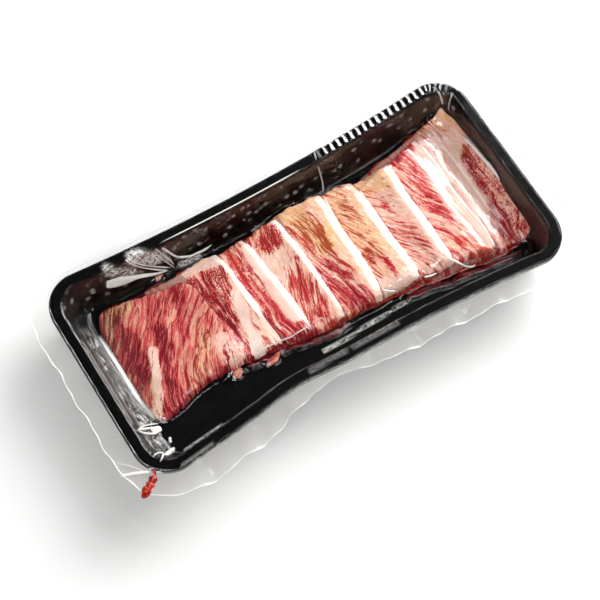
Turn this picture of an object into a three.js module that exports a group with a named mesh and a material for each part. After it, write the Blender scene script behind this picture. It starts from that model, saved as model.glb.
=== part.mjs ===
// Nine shingled slices of raw marbled striploin, skin-packed in a black tray under a clear film.
// Millimetres, +Z up. The origin is the centre of the tray's base. +X runs along the tray, from the
// slice that lies on top of the pile to the one that lies under it, and +Y is the far long side.
import * as THREE from "three";

// The tray's outer edge is a rounded rectangle whose long sides the vacuum has drawn in.
const TRAY = { length: 250, width: 120.8, height: 24, cornerRadius: 19, floor: 1.6, skin: 1.1 };
const FLANGE = { end: 6.5, side: 6.8, round: 0.9, lipDrop: 3, lipThickness: 0.9 };
const WALL = { endDraft: 4, sideDraft: 3.8, fillet: 2.5 };
const FOOT = { end: FLANGE.end + WALL.endDraft, side: FLANGE.side + WALL.sideDraft };
const TRAY_STEPS = { length: 24, width: 10, inCorner: 3 };
const SIDE_BOW = { far: 4.7, near: 6, span: 107 };
const NEAR_KINK = { x: -38, depth: 2.4, width: 20 };

// One slice of meat lies flat, and each next one towards -X lies over its left two thirds.
const SLICE = {
  thickness: 4.2,
  squareness: 7,
  cornerReach: 0.945,
  edgeRound: 2.2,
  edgeBottom: 0.16,
  edgeTop: 0.68,
  swell: 0.25,
  columns: 9,
  rows: 10,
};
const LEFT_TAPER = { reach: 18, thinnest: 0.4 };
// Right edge at y = 0 and its lean towards +X for each millimetre of +Y, the far and near side at
// the right edge, and how much further in +Y each of them lies at the left edge.
const SLICES = [
  { length: 58, right: -47.6, lean: -0.2, far: 35.3, farFlare: 8, near: -21.5, nearFlare: -9 },
  { length: 50, right: -31.6, lean: -0.05, far: 36.2, farFlare: 2.5, near: -22.5, nearFlare: 3 },
  { length: 50, right: -13.5, lean: -0.11, far: 35.5, farFlare: -1, near: -23.8, nearFlare: 3 },
  { length: 52, right: 4.7, lean: -0.01, far: 38.6, farFlare: -4, near: -28, nearFlare: 6 },
  { length: 56, right: 28.4, lean: -0.04, far: 39.8, farFlare: -1, near: -30.2, nearFlare: 5 },
  { length: 58, right: 49.8, lean: -0.05, far: 36.8, farFlare: 3, near: -31, nearFlare: 5 },
  { length: 57, right: 69.9, lean: -0.07, far: 34, farFlare: 3, near: -33.5, nearFlare: 5 },
  { length: 58, right: 90.3, lean: -0.03, far: 41, farFlare: -16, near: -36.3, nearFlare: 6 },
  { length: 60, right: 112.8, lean: 0, far: 46, farFlare: -10, near: -38.6, nearFlare: 4 },
];
const TOP_CORNER_POWER = 4;
const PILE = { left: SLICES[0].right - SLICES[0].length, right: SLICES.at(-1).right };
const RAGGED = { near: 1.3, far: 0.8, side: 0.6 };

// The film clings to what lies under it, and bridges a corner the further the less it is pulled.
const FILM = { thickness: 0.4, gap: 0.35 };
const PULL = { onMeat: 0.05, besideMeat: 0.1, onTray: 0.3, atEnds: 0.06, fade: 11 };
// The same for a slice, on the slices below it or on the tray and its right end wall.
const BEND = { onMeat: 0.06, onTray: 0.14 };
const FILM_ROWS = [0.02, 0.16, 0.33, 0.5, 0.67, 0.84, 0.98];
const FIRST_LINES = [-0.6, 3, 13, 24, 35, 46];
const LAST_LINES = [-8, -2.5];
const STEP_LINES = { before: 1.2, after: 2.6, between: [0.3, 0.65] };
const PILE_FOOT = 2.4;
const SKIRT = { left: 11, far: 1.6, right: 7, near: 10.5, droop: 0.17, wave: 0.9, uneven: 0.07 };
const SKIRT_SHARES = [0, 0.12, 0.55, 1];
// How far inside the tray's outer edge the film over the tray ends and its loose border begins.
const SEAL = { skin: 0.9, skirt: 0.6 };
const SKIRT_BULGE = { x: -85, width: 35, more: 3.5 };
const SKIRT_WAIST = { x: -18, width: 22, less: 5.5 };

const WAVE_LENGTH = 24;
const GAP = 0.3;
const RELAX_PASSES = 160;
const SETTLE_PASSES = 8;

const lerp = THREE.MathUtils.lerp;
const bump = (x, at, width) => Math.exp(-(((x - at) / width) ** 2));

// How far a long side is drawn in at x.
function bow(x, side) {
  const drawn = (side > 0 ? SIDE_BOW.far : SIDE_BOW.near) * Math.max(0, 1 - (x / SIDE_BOW.span) ** 2);
  return side > 0 ? drawn : drawn + NEAR_KINK.depth * bump(x, NEAR_KINK.x, NEAR_KINK.width);
}

// A ring round the tray: the outer edge moved in by these amounts, at the height z.
function ring(end, side, z) {
  const radius = Math.max(6, TRAY.cornerRadius - (end + side) / 2);
  return { a: TRAY.length / 2 - end, b: TRAY.width / 2 - side, r: radius, z };
}

// The point of a ring at a place (px, py) on the edge of the square from -1 to 1, and the ring's
// outward normal there. A corner of the square is the middle of the ring's rounded corner.
function ringPoint(px, py, { a, b, r, z }) {
  let x = Math.abs(px) * a;
  let y = Math.abs(py) * b;
  const onLongSide = Math.abs(py) === 1;
  const normal = onLongSide ? [0, 1] : [1, 0];
  const pastX = (x - (a - r)) / r;
  const pastY = (y - (b - r)) / r;
  if (pastX > 0 && pastY > 0) {
    const turn = (Math.PI / 4) * (onLongSide ? pastX : 2 - pastY);
    normal[0] = Math.sin(turn);
    normal[1] = Math.cos(turn);
    x = a - r + r * normal[0];
    y = b - r + r * normal[1];
  }
  const point = new THREE.Vector3(Math.sign(px) * x, Math.sign(py) * y, z);
  if (onLongSide) point.y -= Math.sign(py) * bow(point.x, py);
  return { point, normal: new THREE.Vector2(Math.sign(px) * normal[0], Math.sign(py) * normal[1]) };
}

// Places from -1 to 1 with a few steps inside each rounded corner and even steps between.
function stations(count, corner) {
  const { inCorner } = TRAY_STEPS;
  const even = count - 2 * inCorner;
  const places = [];
  for (let i = 0; i <= count; i++) {
    const fromEnd = Math.min(i, count - i);
    const sign = i < count - i ? -1 : 1;
    const place = fromEnd < inCorner ? 1 - (corner * fromEnd) / inCorner : 0;
    places.push(place ? sign * place : lerp(corner - 1, 1 - corner, (i - inCorner) / even));
  }
  return places;
}

// The square's edge walked anticlockwise from its near left corner, for these places along x and y.
function squareLoop(alongX, alongY) {
  return [
    ...alongX.slice(0, -1).map((p) => [p, -1]),
    ...alongY.slice(0, -1).map((p) => [1, p]),
    ...alongX.slice(1).reverse().map((p) => [p, 1]),
    ...alongY.slice(1).reverse().map((p) => [-1, p]),
  ];
}

// The triangles between two loops of vertices, facing up where the first lies inside the second.
function band(inner, outer) {
  return inner.flatMap((a, i) => {
    const next = (i + 1) % inner.length;
    return [
      [a, outer[i], outer[next]],
      [a, outer[next], inner[next]],
    ];
  });
}

// The triangles of a grid of points that runs row by row within each column, and the loop round it.
function gridTriangles(columns, rows) {
  const at = (i, j) => i * (rows + 1) + j;
  const triangles = [];
  for (let i = 0; i < columns; i++)
    for (let j = 0; j < rows; j++) {
      triangles.push([at(i, j), at(i + 1, j), at(i + 1, j + 1)]);
      triangles.push([at(i, j), at(i + 1, j + 1), at(i, j + 1)]);
    }
  return triangles;
}

function gridLoop(columns, rows) {
  const at = (i, j) => i * (rows + 1) + j;
  const count = (n) => Array.from({ length: n }, (_, i) => i);
  return [
    ...count(columns).map((i) => at(i, 0)),
    ...count(rows).map((j) => at(columns, j)),
    ...count(columns).map((i) => at(columns - i, rows)),
    ...count(rows).map((j) => at(0, rows - j)),
  ];
}

function meshOf(name, points, triangles, material) {
  const geometry = new THREE.BufferGeometry();
  const coordinates = points.flatMap((p) => p.toArray());
  geometry.setAttribute("position", new THREE.Float32BufferAttribute(coordinates, 3));
  geometry.setIndex(triangles.flat());
  geometry.computeVertexNormals();
  const mesh = new THREE.Mesh(geometry, material);
  mesh.name = name;
  return mesh;
}

// A solid plate between two sheets of the same triangles, closed along the loops of their edge.
function plate(name, lower, upper, triangles, loops, material) {
  const count = lower.length;
  const underside = triangles.map(([a, b, c]) => [a, c, b]);
  const topside = triangles.map((t) => t.map((v) => v + count));
  const rising = (loop) => loop.map((v) => v + count);
  const sides = loops.flatMap((loop) => band(rising(loop), loop));
  return meshOf(name, [...lower, ...upper], [...underside, ...topside, ...sides], material);
}

// A map of the highest surface so far, one cell for each square millimetre.
const MAP = { x: -150, y: -85, columns: 301, rows: 171, empty: -1000 };

// Calls visit(cell, weights) for each cell whose centre lies in the triangle seen from above.
function eachCell([a, b, c], visit) {
  const area = (b.x - a.x) * (c.y - a.y) - (c.x - a.x) * (b.y - a.y);
  if (Math.abs(area) < 1e-9) return;
  const low = (values, start) => Math.ceil(Math.min(...values) - start);
  const high = (values, start) => Math.floor(Math.max(...values) - start);
  const xs = [a.x, b.x, c.x];
  const ys = [a.y, b.y, c.y];
  for (let row = low(ys, MAP.y); row <= high(ys, MAP.y); row++)
    for (let column = low(xs, MAP.x); column <= high(xs, MAP.x); column++) {
      const x = column + MAP.x;
      const y = row + MAP.y;
      const wb = ((x - a.x) * (c.y - a.y) - (c.x - a.x) * (y - a.y)) / area;
      const wc = ((b.x - a.x) * (y - a.y) - (x - a.x) * (b.y - a.y)) / area;
      const weights = [1 - wb - wc, wb, wc];
      if (Math.min(...weights) > -1e-6) visit(row * MAP.columns + column, weights);
    }
}

const heightIn = (corners, weights) => corners.reduce((sum, p, i) => sum + p.z * weights[i], 0);

// The surface of these triangles as a map of its own.
function layerOf(points, triangles) {
  const layer = new Float32Array(MAP.columns * MAP.rows).fill(MAP.empty);
  for (const triangle of triangles) {
    const corners = triangle.map((v) => points[v]);
    eachCell(corners, (cell, weights) => {
      layer[cell] = Math.max(layer[cell], heightIn(corners, weights));
    });
  }
  return layer;
}

// The layer with each empty cell as high as the highest cell that touches it.
function widened(layer) {
  return layer.map((z, cell) => {
    if (z !== MAP.empty) return z;
    const rows = [cell - MAP.columns, cell, cell + MAP.columns];
    const round = rows.flatMap((middle) => [middle - 1, middle, middle + 1]);
    return Math.max(...round.map((other) => layer[other] ?? MAP.empty));
  });
}

function raise(map, layer) {
  layer.forEach((z, cell) => {
    map[cell] = Math.max(map[cell], z);
  });
}

// A membrane that is pulled down on to the map and keeps the gap to it.
function membrane(map, gap, pullAt) {
  const floor = map.map((z) => z + gap);
  const sheet = floor.slice();
  const across = MAP.columns;
  const pull = floor.map((_, cell) => pullAt(MAP.x + (cell % across), MAP.y + Math.floor(cell / across)));
  for (let pass = 0; pass < RELAX_PASSES; pass++)
    for (let cell = across; cell < sheet.length - across; cell++) {
      if (map[cell] === MAP.empty) continue;
      const round = sheet[cell - 1] + sheet[cell + 1] + sheet[cell - across] + sheet[cell + across];
      sheet[cell] = Math.max(floor[cell], round / 4 - pull[cell]);
    }
  return sheet;
}

function sample(map, x, y) {
  const u = x - MAP.x;
  const v = y - MAP.y;
  const column = Math.floor(u);
  const row = Math.floor(v);
  const at = (c, r) => map[r * MAP.columns + c];
  const near = lerp(at(column, row), at(column + 1, row), u - column);
  return lerp(near, lerp(at(column, row + 1), at(column + 1, row + 1), u - column), v - row);
}

// Lifts the vertices until every triangle clears the map by the gap. The last pass lifts a whole
// triangle by what it still lacks.
function settle(points, triangles, map, gap) {
  for (let pass = 1; pass <= SETTLE_PASSES; pass++) {
    const lift = new Array(points.length).fill(0);
    for (const triangle of triangles) {
      const corners = triangle.map((v) => points[v]);
      eachCell(corners, (cell, weights) => {
        const short = map[cell] + gap - heightIn(corners, weights);
        if (short <= 0) return;
        const spread = weights.reduce((sum, w) => sum + w * w, 0);
        const shares = pass === SETTLE_PASSES ? [1, 1, 1] : weights.map((w) => Math.max(0, w) / spread);
        triangle.forEach((v, i) => {
          lift[v] = Math.max(lift[v], short * shares[i]);
        });
      });
    }
    points.forEach((p, i) => {
      p.z += lift[i];
    });
  }
}

const BLACK_PLASTIC = { color: 0x0e0c0c, roughness: 0.28, metalness: 0 };
const CLEAR_FILM = { color: 0xf2efec, roughness: 0.12, metalness: 0, transparent: true, opacity: 0.22 };
// Raw meat, from the pale first slice to the redder last ones.
const MEAT_COLOURS = [
  0xd99a8e, 0xd08a80, 0xcf7f76, 0xd49084, 0xcf7a6d, 0xd98f76, 0xd57f70, 0xc75f5c, 0xb9605b,
];

const material = (values) => new THREE.MeshStandardMaterial(values);
const pack = new THREE.Group();
const heights = new Float32Array(MAP.columns * MAP.rows).fill(MAP.empty);

// The tray is one thin skin: the floor, drafted walls and a flange with a turned-down lip.
function tray() {
  const { height, floor, skin } = TRAY;
  const { lipDrop, lipThickness, round } = FLANGE;
  const { fillet } = WALL;
  const topside = [
    ring(FOOT.end + fillet, FOOT.side + fillet, floor),
    ring(FOOT.end + fillet * 0.4, FOOT.side + fillet * 0.4, floor + fillet * 0.3),
    ring(FOOT.end - 0.4, FOOT.side - 0.3, floor + fillet),
    ring(FLANGE.end + round / 2, FLANGE.side + round / 2, height - round),
    ring(FLANGE.end - round / 2, FLANGE.side - round / 2, height - round / 4),
    ring(FLANGE.end - round * 1.5, FLANGE.side - round * 1.5, height),
    ring(round, round, height),
  ];
  const outside = [
    ring(0, 0, height - round),
    ring(0, 0, height - lipDrop),
    ring(lipThickness, lipThickness, height - lipDrop),
    ring(lipThickness + skin / 2, lipThickness + skin / 2, height - skin * 1.3),
    ring(FLANGE.end - skin, FLANGE.side - skin, height - skin * 1.5),
    ring(FOOT.end - skin, FOOT.side - skin, skin),
    ring(FOOT.end + skin / 3, FOOT.side + skin / 3, 0),
  ];
  const rings = [...topside, ...outside];
  const cornerX = TRAY.cornerRadius / (TRAY.length / 2);
  const cornerY = TRAY.cornerRadius / (TRAY.width / 2);
  const places = squareLoop(stations(TRAY_STEPS.length, cornerX), stations(TRAY_STEPS.width, cornerY));
  const points = rings.flatMap((r) => places.map(([px, py]) => ringPoint(px, py, r).point));
  const loops = rings.map((_, i) => places.map((_, j) => i * places.length + j));
  const floorCentre = points.push(new THREE.Vector3(0, 0, floor)) - 1;
  const baseCentre = points.push(new THREE.Vector3(0, 0, 0)) - 1;
  const fan = (middle, edge) => edge.map((a, i) => [middle, a, edge[(i + 1) % edge.length]]);
  const bands = loops.slice(1).map((outer, i) => band(loops[i], outer));
  const top = [...fan(floorCentre, loops[0]), ...bands.slice(0, topside.length - 1).flat()];
  const rest = bands.slice(topside.length - 1).flat();
  const base = fan(baseCentre, loops.at(-1)).map(([a, b, c]) => [a, c, b]);
  raise(heights, layerOf(points, top));
  return meshOf("tray", points, [...top, ...rest, ...base], material(BLACK_PLASTIC));
}

pack.add(tray());

// Slow waves that make an edge uneven, different for each seed.
const waves = (t, seed) => (Math.sin(5.1 * t + seed) + Math.sin(11.3 * t + 2.7 * seed) * 0.7) / 1.7;

// Even steps from 0 to 1 with one short step at each end, which carries the rounded edge.
function rounded(count, short) {
  const inner = Array.from({ length: count - 1 }, (_, i) => lerp(short, 1 - short, i / (count - 2)));
  return [0, ...inner, 1];
}

// The near and far side of a slice at u, which runs from its left edge to its right one.
function sliceSides({ near, nearFlare, far, farFlare, right }, u) {
  const power = right === SLICES[0].right ? TOP_CORNER_POWER : 1;
  return { near: near + nearFlare * (1 - u) ** power, far: far + farFlare * (1 - u) };
}

// Where a slice's place (u, v) lies: v runs from its near side to its far one.
function slicePoint(slice, seed, u, v) {
  const { squareness, cornerReach } = SLICE;
  const across = (t) => (1 - Math.abs(cornerReach * (2 * t - 1)) ** squareness) ** (1 / squareness);
  const sides = sliceSides(slice, u);
  const far = sides.far + RAGGED.far * waves(u, seed);
  const near = sides.near + RAGGED.near * waves(u, seed + 4);
  const middleY = (far + near) / 2;
  const y = middleY + (v - 0.5) * (far - near) * across(u);
  const length = slice.length + slice.lean * y;
  const middleX = slice.right - slice.length + length / 2;
  const x = middleX + (u - 0.5) * length * across(v) + RAGGED.side * waves(v, seed + 8);
  return new THREE.Vector3(x, y, 0);
}

// A slice, draped over those laid before it. Its edge is thinner, and it thins out to the left.
function sliceMesh(slice, index) {
  const { columns, rows, edgeRound, thickness, edgeBottom, edgeTop, swell } = SLICE;
  const us = rounded(columns, edgeRound / slice.length);
  const vs = rounded(rows, edgeRound / (slice.far - slice.near));
  const lower = us.flatMap((u) => vs.map((v) => slicePoint(slice, index + 1, u, v)));
  const triangles = gridTriangles(columns, rows);
  const edge = gridLoop(columns, rows);
  const bend = slice === SLICES.at(-1) ? BEND.onTray : BEND.onMeat;
  const bed = membrane(heights, GAP, () => bend);
  for (const p of lower) p.z = sample(bed, p.x, p.y);
  settle(lower, triangles, heights, GAP);
  const upper = lower.map((p, k) => {
    const u = us[Math.floor(k / vs.length)];
    const taper = lerp(LEFT_TAPER.thinnest, 1, Math.min(1, (u * slice.length) / LEFT_TAPER.reach));
    const uneven = swell * waves((p.x + p.y) / WAVE_LENGTH, index);
    const top = edge.includes(k) ? thickness * taper * edgeTop : thickness * taper + uneven;
    return new THREE.Vector3(p.x, p.y, p.z + top);
  });
  for (const k of edge) lower[k].z += thickness * edgeBottom;
  raise(heights, widened(layerOf(upper, triangles)));
  const meat = material({ color: MEAT_COLOURS[index], roughness: 0.42, metalness: 0 });
  return plate(`slice_${index + 1}`, lower, upper, triangles, [edge], meat);
}

const slicesFromBelow = SLICES.map((slice, index) => [slice, index]).reverse();
slicesFromBelow.forEach(([slice, index]) => pack.add(sliceMesh(slice, index)));

// The film over the floor is a grid whose lines follow the slices' right edges and the pile's two
// long sides. Round it lie rings that follow the tray.
const gridRing = ring(FOOT.end + 2, FOOT.side + 1.8, 0);
const WALL_HEIGHT = 0.45;
const OFF_WALL = 1.1;
const wallRing = ring(
  lerp(FOOT.end, FLANGE.end, WALL_HEIGHT) + OFF_WALL,
  lerp(FOOT.side, FLANGE.side, WALL_HEIGHT) + OFF_WALL,
  0,
);
const sealLevel = TRAY.height + FILM.gap;
const sealRings = [
  ring(FLANGE.end + 0.7, FLANGE.side + 0.7, sealLevel - 0.1),
  ring(FLANGE.end - 1, FLANGE.side - 1, sealLevel),
  ring(SEAL.skin, SEAL.skin, sealLevel),
];

// The film's lines across the tray, as the x of each line at its near and far end: one before and
// one after each right edge, and two between there and the next right edge.
function linesAcross() {
  const straight = (x) => [x, x];
  const reach = gridRing.b;
  const edgeAt = ({ right, lean }, past) => [right + past - lean * reach, right + past + lean * reach];
  const between = (from, to, share) => from.map((x, i) => lerp(x, to[i], share));
  const steps = SLICES.slice(0, -1).flatMap((slice, index) => {
    const landing = edgeAt(slice, STEP_LINES.after);
    const next = edgeAt(SLICES[index + 1], -STEP_LINES.before);
    const shares = STEP_LINES.between.map((share) => between(landing, next, share));
    return [edgeAt(slice, -STEP_LINES.before), landing, ...shares];
  });
  return [
    ...FIRST_LINES.map((past) => straight(PILE.left + past)),
    ...steps,
    ...LAST_LINES.map((past) => straight(PILE.right + past)),
  ];
}

// The near and far side of the pile at x, from the slices that show there.
function pileSides(x) {
  const reach = 7;
  let weight = 0;
  const sides = { near: 0, far: 0 };
  SLICES.forEach((slice, index) => {
    const left = index ? SLICES[index - 1].right : PILE.left;
    const u = THREE.MathUtils.clamp(1 - (slice.right - x) / slice.length, 0, 1);
    const share = bump(Math.max(left - x, x - slice.right, 0), 0, reach);
    sides.near += share * sliceSides(slice, u).near;
    sides.far += share * sliceSides(slice, u).far;
    weight += share;
  });
  return { near: sides.near / weight, far: sides.far / weight };
}

// The places along one line across the tray, from its near end to its far end.
function rowsAcross(x, nearEnd, farEnd) {
  const { near, far } = pileSides(x);
  const foot = near - PILE_FOOT;
  const onPile = FILM_ROWS.map((t) => lerp(near, far, t));
  return [nearEnd, (nearEnd + foot) / 2, foot, ...onPile, far + PILE_FOOT, farEnd];
}

// How hard the film is pulled down at x, y.
function filmPull(x, y) {
  if (x < PILE.left + 2 || x > PILE.right - 2) return PULL.atEnds;
  const { near, far } = pileSides(x);
  const beside = Math.max(near - y, y - far);
  return beside < 0 ? PULL.onMeat : lerp(PULL.besideMeat, PULL.onTray, Math.min(1, beside / PULL.fade));
}

// The film's own layout seen from above: its points, triangles and the places of its grid's edge.
function filmPlan() {
  const { a, b } = gridRing;
  const rows = (x, ends) => rowsAcross(x, ends[0], ends[1]);
  const endRows = (x) => rows(x, [-b, b]).map((y) => y / b);
  const left = endRows(-a).map((py) => ringPoint(-1, py, gridRing).point);
  const right = endRows(a).map((py) => ringPoint(1, py, gridRing).point);
  const middle = linesAcross().map(([nearX, farX]) => {
    const start = ringPoint(nearX / a, -1, gridRing).point;
    const end = ringPoint(farX / a, 1, gridRing).point;
    return rows((nearX + farX) / 2, [start.y, end.y]).map((y) =>
      new THREE.Vector3().lerpVectors(start, end, (y - start.y) / (end.y - start.y)),
    );
  });
  const columns = [left, ...middle, right];
  const perLine = left.length;
  const lastLine = columns.length - 1;
  const triangles = gridTriangles(lastLine, perLine - 1);
  const nearPlaces = [-1, ...linesAcross().map(([x]) => x / a), 1];
  const farPlaces = [-1, ...linesAcross().map(([, x]) => x / a), 1];
  const places = [
    ...nearPlaces.slice(0, -1).map((p) => [p, -1]),
    ...endRows(a).slice(0, -1).map((p) => [1, p]),
    ...farPlaces.slice(1).reverse().map((p) => [p, 1]),
    ...endRows(-a).slice(1).reverse().map((p) => [-1, p]),
  ];
  return { points: columns.flat(), triangles, edge: gridLoop(lastLine, perLine - 1), places };
}

// Each point moved along the sheet's own normal there.
function thickened(points, triangles, thickness) {
  const sheet = meshOf("sheet", points, triangles);
  const normal = sheet.geometry.getAttribute("normal");
  const normalAt = (i) => new THREE.Vector3().fromBufferAttribute(normal, i);
  return points.map((p, i) => p.clone().addScaledVector(normalAt(i), thickness));
}

const plan = filmPlan();

function filmSkin() {
  const points = [...plan.points];
  const triangles = [...plan.triangles];
  const hung = membrane(heights, FILM.gap, filmPull);
  let inner = plan.edge;
  for (const filmRing of [wallRing, ...sealRings]) {
    const outer = plan.places.map(([px, py]) => points.push(ringPoint(px, py, filmRing).point) - 1);
    triangles.push(...band(inner, outer));
    inner = outer;
  }
  for (const p of points) if (!p.z) p.z = sample(hung, p.x, p.y);
  settle(points, triangles, heights, FILM.gap);
  const upper = thickened(points, triangles, FILM.thickness);
  return plate("film_skin", points, upper, triangles, [inner], material(CLEAR_FILM));
}

// The width of the film left beyond the tray at a point of its edge with this outward normal.
function skirtWidth({ x, y }, normal) {
  const nearWidth =
    SKIRT.near +
    SKIRT_BULGE.more * bump(x, SKIRT_BULGE.x, SKIRT_BULGE.width) -
    SKIRT_WAIST.less * bump(x, SKIRT_WAIST.x, SKIRT_WAIST.width);
  const alongX = normal.x ** 2 * (normal.x < 0 ? SKIRT.left : SKIRT.right);
  const alongY = normal.y ** 2 * (normal.y < 0 ? nearWidth : SKIRT.far);
  return (alongX + alongY) * (1 + SKIRT.uneven * waves((x - y) / WAVE_LENGTH, 3));
}

// The loose border of the film: it leaves the seal level and droops in slow waves.
function filmSkirt() {
  const outline = ring(0, 0, sealLevel);
  const points = [];
  const loops = SKIRT_SHARES.map((share) =>
    plan.places.map(([px, py]) => {
      const { point, normal } = ringPoint(px, py, outline);
      const width = skirtWidth(point, normal);
      const past = share * width;
      const out = past || -SEAL.skirt;
      const wave = (SKIRT.wave * past * waves((point.x - point.y) / WAVE_LENGTH, 6)) / SKIRT.near;
      point.x += normal.x * out;
      point.y += normal.y * out;
      point.z += wave - SKIRT.droop * past;
      return points.push(point) - 1;
    }),
  );
  const triangles = loops.slice(1).flatMap((outer, i) => band(loops[i], outer));
  const upper = thickened(points, triangles, FILM.thickness);
  const innerEdge = [...loops[0]].reverse();
  return plate("film_skirt", points, upper, triangles, [loops.at(-1), innerEdge], material(CLEAR_FILM));
}

pack.add(filmSkin(), filmSkirt());

export default pack;
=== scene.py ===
"""Looks of a skin pack of shingled raw striploin slices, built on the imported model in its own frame.

Shapes are worked out in millimetres on a height map and made into meshes in metres.
"""

import math

import bpy
import numpy as np
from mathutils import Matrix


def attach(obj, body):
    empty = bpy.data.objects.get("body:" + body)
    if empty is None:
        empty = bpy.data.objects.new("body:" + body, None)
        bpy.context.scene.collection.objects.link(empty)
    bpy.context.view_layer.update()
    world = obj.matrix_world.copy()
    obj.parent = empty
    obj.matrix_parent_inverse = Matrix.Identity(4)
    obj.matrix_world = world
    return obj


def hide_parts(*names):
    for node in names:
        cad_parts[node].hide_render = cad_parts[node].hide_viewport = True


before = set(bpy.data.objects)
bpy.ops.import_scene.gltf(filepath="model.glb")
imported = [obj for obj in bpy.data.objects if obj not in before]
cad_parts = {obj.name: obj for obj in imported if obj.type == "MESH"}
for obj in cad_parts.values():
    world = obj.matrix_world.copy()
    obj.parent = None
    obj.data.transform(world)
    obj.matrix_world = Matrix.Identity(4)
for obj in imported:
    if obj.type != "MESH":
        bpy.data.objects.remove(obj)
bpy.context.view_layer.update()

# The tray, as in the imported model. A depth counts inwards from the flange's outer edge.
LENGTH, WIDTH, HEIGHT, CORNER, FLOOR = 250.0, 120.8, 24.0, 19.0, 1.6
FLANGE = 6.65
BOW_FAR, BOW_NEAR, BOW_SPAN = 4.7, 6.0, 107.0
KINK_X, KINK_DEPTH, KINK_WIDTH = -38.0, 2.4, 20.0

# The slices: length, right edge, lean, far side and flare, near side and flare.
SLICES = [
    (58, -47.6, -0.2, 35.3, 8, -21.5, -9),
    (50, -29.5, -0.07, 39.6, 1, -22.5, 3),
    (50, -12.7, -0.09, 38.8, -2, -23.8, 3),
    (52, 6.3, -0.03, 39.4, -4, -28, 6),
    (57, 30.6, 0.04, 40.4, -1, -29.6, 5),
    (59, 51.3, -0.01, 39.6, 1, -30, 5),
    (58, 71, 0, 36.8, 1, -32.2, 5),
    (60, 94.6, -0.03, 41.5, -14, -35, 6),
    (60, 112.8, 0, 48.6, -10, -37.8, 4),
]
FIRST, LAST = 0, len(SLICES) - 1
PILE_LEFT, PILE_RIGHT = SLICES[FIRST][1] - SLICES[FIRST][0], SLICES[LAST][1]
THICKNESS = 5.0
THINNEST = 0.02

# The film: its gap over what it covers, and its thickness over the tray and at the border.
FILM_GAP, FILM_THICK, BORDER_THICK = 0.2, 0.12, 0.15

# The height map: one cell each half millimetre. Sheets are hung on one that is twice as coarse.
CELL = 0.5
COARSE = 2
MAP_X, MAP_Y = -132.0, -68.0
xs = np.arange(MAP_X, -MAP_X + CELL, CELL)
ys = np.arange(MAP_Y, -MAP_Y + CELL, CELL)
GX, GY = np.meshgrid(xs, ys, indexing="ij")


def noise(x, y, size, seed):
    """Smooth noise from -1 to 1 with bumps of this size."""
    table = np.random.default_rng(seed).uniform(-1, 1, (64, 64))
    u, v = x / size + 512.3, y / size + 512.7
    i, j = np.floor(u).astype(int), np.floor(v).astype(int)
    fu, fv = u - i, v - j
    fu, fv = fu * fu * (3 - 2 * fu), fv * fv * (3 - 2 * fv)
    i, j, i1, j1 = i % 64, j % 64, (i + 1) % 64, (j + 1) % 64
    near = table[i, j] * (1 - fu) + table[i1, j] * fu
    far = table[i, j1] * (1 - fu) + table[i1, j1] * fu
    return near * (1 - fv) + far * fv


def smooth(t, low=0.0, high=1.0):
    t = np.clip((t - low) / (high - low), 0, 1)
    return t * t * (3 - 2 * t)


def bump(x, at, width):
    return np.exp(-(((x - at) / width) ** 2))


def waves(t, seed):
    return (np.sin(5.1 * t + seed) + np.sin(11.3 * t + 2.7 * seed) * 0.7) / 1.7


def line_distance(points, path):
    """Distance from points to a line through these places, in the plane or in space."""
    path = np.array(path, float)
    best = np.full(points.shape[:-1], np.inf)
    for a, b in zip(path[:-1], path[1:]):
        step = b - a
        t = np.clip((points - a) @ step / (step @ step), 0, 1)
        best = np.minimum(best, np.linalg.norm(points - a - t[..., None] * step, axis=-1))
    return best


# The tray's plan

def bow(x, y):
    """How far a long side is drawn in at x, on the side where y lies."""
    share = np.maximum(0, 1 - (x / BOW_SPAN) ** 2)
    near = BOW_NEAR * share + KINK_DEPTH * bump(x, KINK_X, KINK_WIDTH)
    return np.where(y > 0, BOW_FAR * share, near)


def inside(x, y):
    """How far inside the tray's outer edge a point lies."""
    qx = np.abs(x) - (LENGTH / 2 - CORNER)
    qy = np.abs(y) + bow(x, y) - (WIDTH / 2 - CORNER)
    return CORNER - np.hypot(np.maximum(qx, 0), np.maximum(qy, 0)) - np.minimum(np.maximum(qx, qy), 0)


def ring(places, depth):
    """Points on the ring this far inside the tray's edge, and the outward normals there."""
    px, py = places.T
    a, b, r = LENGTH / 2 - depth, WIDTH / 2 - depth, max(6.0, CORNER - depth)
    x, y = np.abs(px) * a, np.abs(py) * b
    long_side = np.abs(py) >= 1 - 1e-9
    past_x, past_y = (x - (a - r)) / r, (y - (b - r)) / r
    corner = (past_x > 0) & (past_y > 0)
    turn = np.pi / 4 * np.where(long_side, past_x, 2 - past_y)
    normal_x = np.where(corner, np.sin(turn), np.where(long_side, 0, 1))
    normal_y = np.where(corner, np.cos(turn), np.where(long_side, 1, 0))
    x = np.where(corner, a - r + r * normal_x, x) * np.sign(px)
    y = np.where(corner, b - r + r * normal_y, y) * np.sign(py)
    y = np.where(long_side, y - np.sign(py) * bow(x, py), y)
    return np.stack([x, y], 1), np.stack([normal_x * np.sign(px), normal_y * np.sign(py)], 1)


def square_loop(along_x, along_y):
    """The edge of the square from -1 to 1, anticlockwise from the near left corner."""
    one = np.ones_like
    return np.concatenate([
        np.stack([along_x[:-1], -one(along_x[:-1])], 1),
        np.stack([one(along_y[:-1]), along_y[:-1]], 1),
        np.stack([along_x[:0:-1], one(along_x[:0:-1])], 1),
        np.stack([-one(along_y[:0:-1]), along_y[:0:-1]], 1),
    ])


# Height maps

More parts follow.
